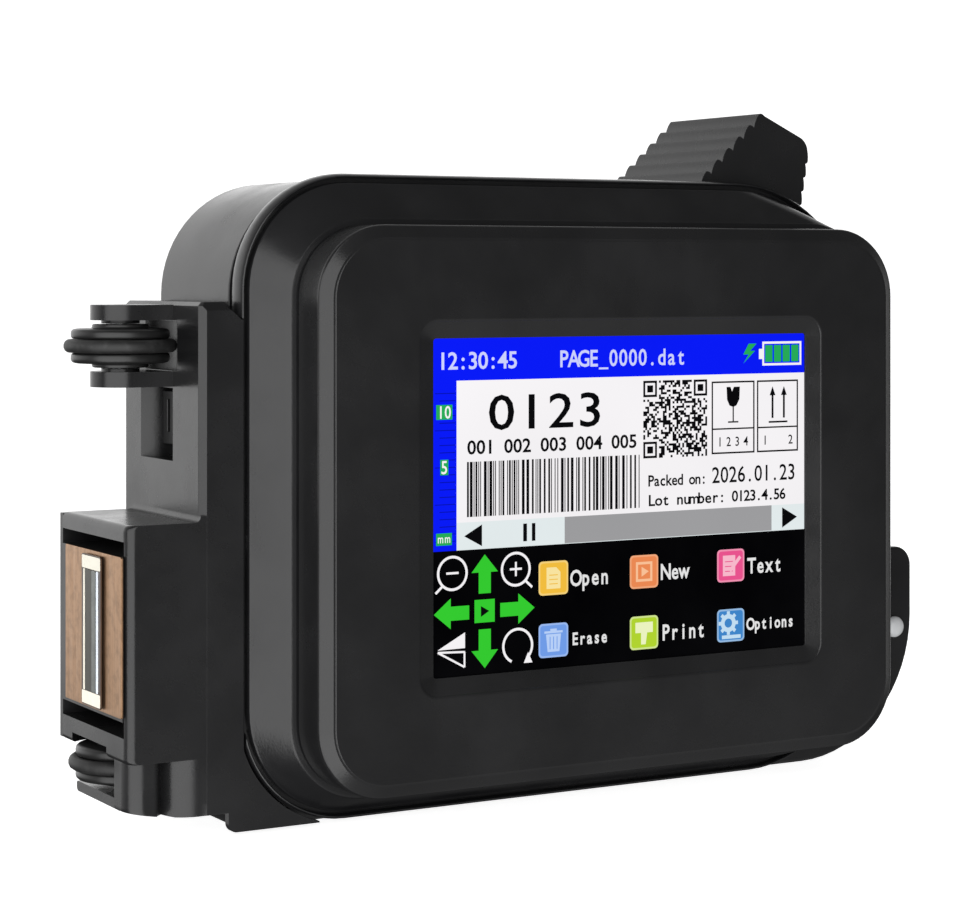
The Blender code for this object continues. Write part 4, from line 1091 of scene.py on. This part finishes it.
def draw_menu(p):
    white = p.look("label_white", (0.80, 0.80, 0.80))
    tiles = (
        ("tile_yellow", (0.92, 0.53, 0.05), (0.98, 0.80, 0.36), 19.15, 11.6, "Open", 1.8),
        ("tile_orange", (0.86, 0.26, 0.09), (0.98, 0.55, 0.32), 36.4, 11.6, "New", 1.8),
        ("tile_pink", (0.84, 0.09, 0.28), (0.97, 0.50, 0.62), 53.6, 11.6, "Text", 1.8),
        ("tile_blue", (0.17, 0.35, 0.84), (0.50, 0.66, 0.98), 19.15, 1.7, "Erase", 1.38),
        ("tile_lime", (0.45, 0.68, 0.03), (0.86, 0.93, 0.55), 36.4, 1.7, "Print", 1.75),
        ("tile_sky", (0.05, 0.24, 0.60), (0.55, 0.74, 0.90), 53.6, 1.7, "Options", 1.38),
    )
    for name, colour, light, x, z, words, pitch in tiles:
        tile = p.look(name, colour)
        inner = p.look(name + "_inner", light)
        edge = p.look(name + "_edge", tuple(0.5 * (a + b) for a, b in zip(colour, light)))
        p.shape(edge, rounded_box(x, z, x + 5.5, z + 5.4, 0.7), 2)
        p.shape(tile, rounded_box(x + 0.3, z + 0.3, x + 5.2, z + 5.1, 0.5), 3)
        draw_pictogram(p, inner, tile, words, x + 2.75, z + 2.7)
        small = pitch < 1.6
        p.text(white, words, x + 6.1, z + (1.7 if small else 1.2), 1.9 if small else 2.5, pitch, 0.8, 0.08, 2)


def draw_pictogram(p, light, dark, words, x, z):
    """A small sign on a menu tile, centred on x and z."""
    if words == "Open":
        p.shape(light, [(x - 1.3, z - 1.7), (x + 1.3, z - 1.7), (x + 1.3, z + 0.9), (x + 0.5, z + 1.7), (x - 1.3, z + 1.7)], 4)
        for k in range(3):
            p.box(dark, x - 0.8, z - 1.0 + 0.7 * k, x + 0.8, z - 0.85 + 0.7 * k, 5)
    elif words == "New":
        p.frame(light, x - 1.6, z - 1.6, x + 1.6, z + 1.6, 0.42, 4)
        p.shape(light, [(x - 0.5, z - 0.8), (x + 0.9, z), (x - 0.5, z + 0.8)], 4)
    elif words == "Text":
        p.box(light, x - 1.6, z - 1.7, x + 0.9, z + 1.7, 4)
        for k in range(3):
            p.box(dark, x - 1.2, z - 1.0 + 0.8 * k, x + 0.4, z - 0.85 + 0.8 * k, 5)
        p.line(light, (x - 0.2, z - 0.9), (x + 1.9, z + 1.4), 0.6, 6)
    elif words == "Erase":
        p.shape(light, [(x - 1.1, z - 1.8), (x + 1.1, z - 1.8), (x + 1.4, z + 1.0), (x - 1.4, z + 1.0)], 4)
        p.box(light, x - 1.7, z + 1.15, x + 1.7, z + 1.5, 4)
        p.box(light, x - 0.6, z + 1.5, x + 0.6, z + 1.85, 4)
        for k in (-1, 0, 1):
            p.box(dark, x + 0.65 * k - 0.08, z - 1.4, x + 0.65 * k + 0.08, z + 0.6, 5)
    elif words == "Print":
        p.shape(light, [(x - 1.7, z), (x + 1.7, z), (x + 1.7, z + 1.7), (x - 1.7, z + 1.7)], 4)
        p.shape(light, [(x - 0.6, z), (x - 0.6, z - 1.9), (x + 0.3, z - 1.9), (x + 0.6, z)], 4)
    else:
        p.ring(light, x - 0.5, z + 0.4, 1.5, 0.75, layer=4)
        for k in range(8):
            a = math.radians(45 * k)
            c = Vector((x - 0.5, z + 0.4))
            way = Vector((math.cos(a), math.sin(a)))
            p.line(light, tuple(c + way * 1.4), tuple(c + way * 1.95), 0.6, 5)
        p.box(light, x - 1.8, z - 2.2, x + 2.0, z - 1.6, 4)


def make_picture():
    p = Picture()
    draw_status_bar(p)
    draw_ruler(p)
    draw_label(p)
    draw_scroll_row(p)
    draw_arrows(p)
    draw_menu(p)
    picture = p.done("screen_picture")
    return dress(picture, BODY["touch_glass"], "lcd_grey")


# ---------------------------------------------------------------- cartridge, sensor and controls
def at_datum(node):
    """(lowest corner, highest corner) of a CAD node in datum millimetres."""
    low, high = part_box(node)
    return low / MM - DATUM, high / MM - DATUM


def make_cartridge():
    low, high = at_datum("ink_cartridge")
    nose_low = WINDOW[0] + NOSE_CLEAR
    nose_high = WINDOW[1] - NOSE_CLEAR
    nose_back = SNOUT_BACK + GAP + FLUSH
    body = [(-23.3, -20.5, 1.2), (24.0, -20.5, 1.2), (24.0, 50.0, 1.2), (-23.3, 50.0, 1.2)]
    rings = [at_y(rounded(body, 6), 19.0)] + round_over(body, (0, high.y - 0.6), (0.6, high.y), 4)
    obj = loft("cartridge_case", rings, None)
    nose_front = WINDOW_FRONT + 0.5
    nose = [(nose_front, nose_low), (nose_back, nose_low), (nose_back, nose_high), (nose_front, nose_high)]
    snout = prism("add_nose", at_x, nose, CART_LEFT, HOUSE[0] - 2 * GAP, None)
    bridge = block(
        "add_bridge",
        (CART_LEFT + 8, 19.5, nose_low + FLUSH),
        (-21.3, HEAD_BACK - 0.2, nose_high - FLUSH),
        None,
    )
    flange = block(
        "add_flange",
        (SNOUT_LEFT + 0.2, SNOUT_BACK + GAP, SNOUT[0] + 0.2),
        (HEAD_LEFT - 0.5, 42.6, SNOUT[1] - 0.2),
        None,
    )
    combine(obj, "UNION", snout, bridge, flange)
    grip = [(-8, 36, 1.6), (10, 36, 1.6), (10, 44, 1.6), (-8, 44, 1.6)]
    cutters = [prism("cut_grip", at_y, rounded(grip, 8), high.y - 3.4, high.y + 2, None)]
    for k in range(5):
        z = 4.0 + 2.2 * k
        line = [(-8, z, 0.35), (10, z, 0.35), (10, z + 0.8, 0.35), (-8, z + 0.8, 0.35)]
        cutters.append(prism(f"cut_line_{k}", at_y, rounded(line, 4), high.y - 0.35, high.y + 2, None))
    combine(obj, "DIFFERENCE", *cutters)
    restore(obj, CART_SKIN)
    soften(obj, 0.18, 2)
    return dress(obj, BODY["ink_cartridge"], "cartridge_plastic", "ink_cartridge")


def make_sensor():
    low, high = at_datum("photo_sensor")
    obj = block("sensor_case", tuple(low), tuple(high), None)
    far = SLOT_Y[1] - SLOT_SLANT
    slit_low = (low.x - 1, far - 3.0, SLOT_Z[0] + 4.0)
    slit = block("cut_slit", slit_low, (low.x + 0.8, far - 2.0, SLOT_Z[1] - 2.2), None)
    combine(obj, "DIFFERENCE", slit)
    restore(obj, SENSOR_SKIN)
    soften(obj, 0.15, 3)
    return dress(obj, BODY["photo_sensor"], "roller_nylon", "photo_sensor")


def make_button(node, look, slot, dish):
    """A round button with a softly rounded edge and a shallow dished face."""
    low, high = at_datum(node)
    centre = (low + high) / 2
    r = (high.z - low.z) / 2
    tall = high.x - low.x
    profile = [(0.01, 0), (r, 0), (r, tall - 0.9)]
    for k in range(1, 7):
        a = math.radians(15 * k)
        profile.append((r - 0.9 * (1 - math.cos(a)), tall - 0.9 * (1 - math.sin(a))))
    for k in range(1, 9):
        share = 1 - k / 8
        profile.append(((r - 1.2) * share + 0.01, tall - dish * (1 - share * share)))
    obj = turned(node + "_cap", profile, (low.x, centre.y, centre.z), "X", look, 72)
    return dress(obj, BODY[node], slot, node)


def make_lamp():
    low, high = at_datum("battery_lamp")
    centre = (low + high) / 2
    r = (high.x - low.x) / 2
    tall = high.y - low.y
    profile = [(r * math.cos(math.radians(a)) + 0.004, -tall * math.sin(math.radians(a))) for a in range(0, 91, 9)]
    obj = turned("lamp_dome", profile, (centre.x, high.y, centre.z), "Y", LENS, 48)
    return dress(obj, BODY["battery_lamp"], "lamp_lens", "battery_lamp")


def make_axles():
    for node in ("upper_axle", "lower_axle"):
        low, high = at_datum(node)
        centre = (low + high) / 2
        r = (high.x - low.x) / 2
        tall = high.z - low.z
        profile = [(0.01, 0), (r - 0.2, 0), (r, 0.2), (r, tall - 0.2), (r - 0.2, tall), (0.01, tall)]
        obj = turned(node + "_pin", profile, (centre.x, centre.y, low.z), "Z", STEEL, 40)
        dress(even(obj), BODY[node], "steel", node)


def make_screws():
    for k in range(1, 5):
        node = f"case_screw_{k}"
        low, high = at_datum(node)
        centre = (low + high) / 2
        r = (high.x - low.x) / 2
        profile = [(0.01, high.y - 1.5), (r, high.y - 1.5), (r, high.y - 0.5)]
        profile += [(r - 0.12, high.y - 0.25), (r * 0.8, high.y - 0.05), (0.01, high.y)]
        obj = turned(f"screw_head_{k}", profile, (centre.x, 0, centre.z), "Y", None, 48)
        arms = []
        for j, (w, h) in enumerate(((2.6, 0.55), (0.55, 2.6))):
            corner = (centre.x - w / 2, high.y - 1.0, centre.z - h / 2)
            arms.append(block(f"cut_arm_{k}_{j}", corner, (centre.x + w / 2, high.y + 1, centre.z + h / 2), None))
        combine(obj, "DIFFERENCE", *arms)
        restore(obj, STEEL)
        dress(obj, BODY[node], "steel", node)


def make_glass():
    """The touch glass, dark and glossy, with the lit picture just in front of its face."""
    low, high = at_datum("touch_glass")
    box = corners_of((low.x, high.x, low.z, high.z), [0.6] * 4)
    obj = prism("screen_glass", at_y, rounded(box, 6), PICTURE_Y, high.y, GLASS)
    return dress(obj, BODY["touch_glass"], "touch_glass", "touch_glass")


def paint(node, look):
    """A carried-over CAD node takes a finish of this scene."""
    obj = frame["nodes"][node]
    obj.data.materials.clear()
    obj.data.materials.append(look)


DIE = metal("nozzle_die_face", (0.030, 0.029, 0.018), 0.16, (40, 1800, 40))
DIE_GREY = metal("nozzle_die_edge", (0.15, 0.16, 0.15), 0.16, (40, 1800, 40))
LENS = plastic("lamp_lens_skin", (0.55, 0.56, 0.57), 0.22, 1800, 0.00002, 0.1)
GLASS = plastic("glass_face", (0.0006, 0.0006, 0.0010), 0.2, 300, 0.000004, 0.0)
GLASS.node_tree.nodes["Principled BSDF"].inputs["Specular IOR Level"].default_value = 0.02


def make_object():
    make_panel()
    make_front_shell()
    make_housing()
    make_battery()
    make_head()
    make_roller("upper", ROLLER_X, UPPER_Z)
    make_roller("lower", LOWER_X, LOWER_Z)
    make_nozzle()
    make_lever()
    make_cartridge()
    make_sensor()
    make_button("print_button", RED_SKIN, "print_button_red", 0.35)
    make_button("power_button", BUTTON_SKIN, "button_rubber", 0.12)
    make_lamp()
    make_axles()
    make_screws()
    make_glass()
    make_picture()
    paint("lcd_module", LCD_BACK)
    paint("main_board", BOARD)
    paint("buzzer", BUTTON_SKIN)
    paint("cartridge_clamp", ROLLER_SKIN)
    paint("lever_pin", STEEL)
    paint("usb_socket", STEEL)
    paint("dc_socket", BUTTON_SKIN)


# ---------------------------------------------------------------- studio
def area(name, place, target, size, power, colour=(1, 1, 1)):
    lamp = bpy.data.lights.new(name, "AREA")
    lamp.shape = "RECTANGLE"
    lamp.size, lamp.size_y = size
    lamp.energy = power
    lamp.color = colour
    obj = bpy.data.objects.new(name, lamp)
    obj.location = place
    obj.rotation_euler = (Vector(target) - Vector(place)).to_track_quat("-Z", "Y").to_euler()
    bpy.context.scene.collection.objects.link(obj)
    return obj


def make_floor():
    """A wide pale sheet that stays flat under the object and curves up behind it."""
    bm = bmesh.new()
    across = [-2.6 + 0.2 * i for i in range(27)]
    along = [(-2.0 + 0.2 * k, 0.0) for k in range(16)]
    bend = [(1.0 + 0.9 * math.sin(math.radians(a)), 0.9 - 0.9 * math.cos(math.radians(a))) for a in range(5, 91, 5)]
    profile = along + bend + [(1.9, 0.9 + 0.2 * k) for k in range(1, 10)]
    turn = Matrix.Rotation(math.radians(-30), 4, "Z")
    grid = [[bm.verts.new(turn @ Vector((x, y, z - 0.0004))) for x in across] for y, z in profile]
    for one, two in zip(grid, grid[1:]):
        for i in range(len(across) - 1):
            bm.faces.new((one[i], one[i + 1], two[i + 1], two[i]))
    mesh = bpy.data.meshes.new("floor")
    bm.to_mesh(mesh)
    bm.free()
    mesh.shade_smooth()
    n = Nodes("floor_sheet")
    paper = n.ramp(n.noise(900, 3.0), 0.3, 0.7)
    n.link(n.mix(paper, (0.86, 0.86, 0.86), (0.90, 0.90, 0.90)), n.shader.inputs["Base Color"])
    n.shader.inputs["Roughness"].default_value = 0.9
    n.shader.inputs["Specular IOR Level"].default_value = 0.1
    n.shader.inputs["Emission Color"].default_value = (1, 1, 1, 1)
    n.shader.inputs["Emission Strength"].default_value = 0.9
    mesh.materials.append(n.material)
    floor = bpy.data.objects.new("floor", mesh)
    bpy.context.scene.collection.objects.link(floor)
    floor.visible_glossy = False
    floor.visible_diffuse = False
    floor.visible_shadow = False


def make_world():
    """A dim room, brighter low down behind the object and a little brighter in front."""
    sky = bpy.data.worlds.new("studio")
    sky.use_nodes = True
    tree = sky.node_tree
    back = tree.nodes["Background"]
    back.inputs["Color"].default_value = (1.0, 1.0, 1.0, 1.0)
    coordinates = tree.nodes.new("ShaderNodeTexCoord")
    axes = tree.nodes.new("ShaderNodeSeparateXYZ")
    tree.links.new(coordinates.outputs["Generated"], axes.inputs[0])

    def ramp(source, low, high, out_low, out_high):
        node = tree.nodes.new("ShaderNodeMapRange")
        node.interpolation_type = "SMOOTHSTEP"
        for name, value in (("From Min", low), ("From Max", high), ("To Min", out_low), ("To Max", out_high)):
            node.inputs[name].default_value = value
        tree.links.new(source, node.inputs["Value"])
        return node.outputs["Result"]

    def maths(operation, first, second):
        node = tree.nodes.new("ShaderNodeMath")
        node.operation = operation
        tree.links.new(first, node.inputs[0])
        tree.links.new(second, node.inputs[1])
        return node.outputs[0]

    behind = ramp(axes.outputs["Y"], 0.0, 0.8, 0.0, 0.80)
    low_down = ramp(axes.outputs["Z"], 0.34, 0.60, 1.0, 0.0)
    above = ramp(axes.outputs["Z"], -0.35, -0.05, 0.0, 1.0)
    front = ramp(axes.outputs["Y"], -0.9, -0.35, 0.12, 0.10)
    overhead = ramp(axes.outputs["Y"], 0.0, 0.28, 0.0, 0.46)
    beneath = ramp(axes.outputs["Y"], -0.55, 0.1, 0.40, 0.05)
    room = maths("ADD", front, overhead)
    upper = maths("ADD", room, maths("MULTIPLY", behind, low_down))
    lower = maths("SUBTRACT", beneath, maths("MULTIPLY", beneath, above))
    tree.links.new(maths("ADD", maths("MULTIPLY", upper, above), lower), back.inputs["Strength"])
    bpy.context.scene.world = sky


def make_camera():
    """Level, 30 degrees to the left of straight ahead, with the frame shifted down onto the object."""
    lens = bpy.data.cameras.new("camera")
    lens.sensor_width = 36.0
    lens.lens = 94.4
    lens.shift_y = -0.1925
    lens.clip_start = 0.01
    obj = bpy.data.objects.new("camera", lens)
    obj.location = world(-189.445, -343.034, 62.596)
    obj.rotation_euler = (math.radians(90), 0, math.radians(-30))
    bpy.context.scene.collection.objects.link(obj)
    bpy.context.scene.camera = obj


make_object()
make_floor()
make_world()
make_camera()
area("key", (-0.62, -0.72, -0.22), (0, 0, -0.22), (1.70, 1.95), 22.5)
bpy.context.scene.view_settings.view_transform = "Standard"
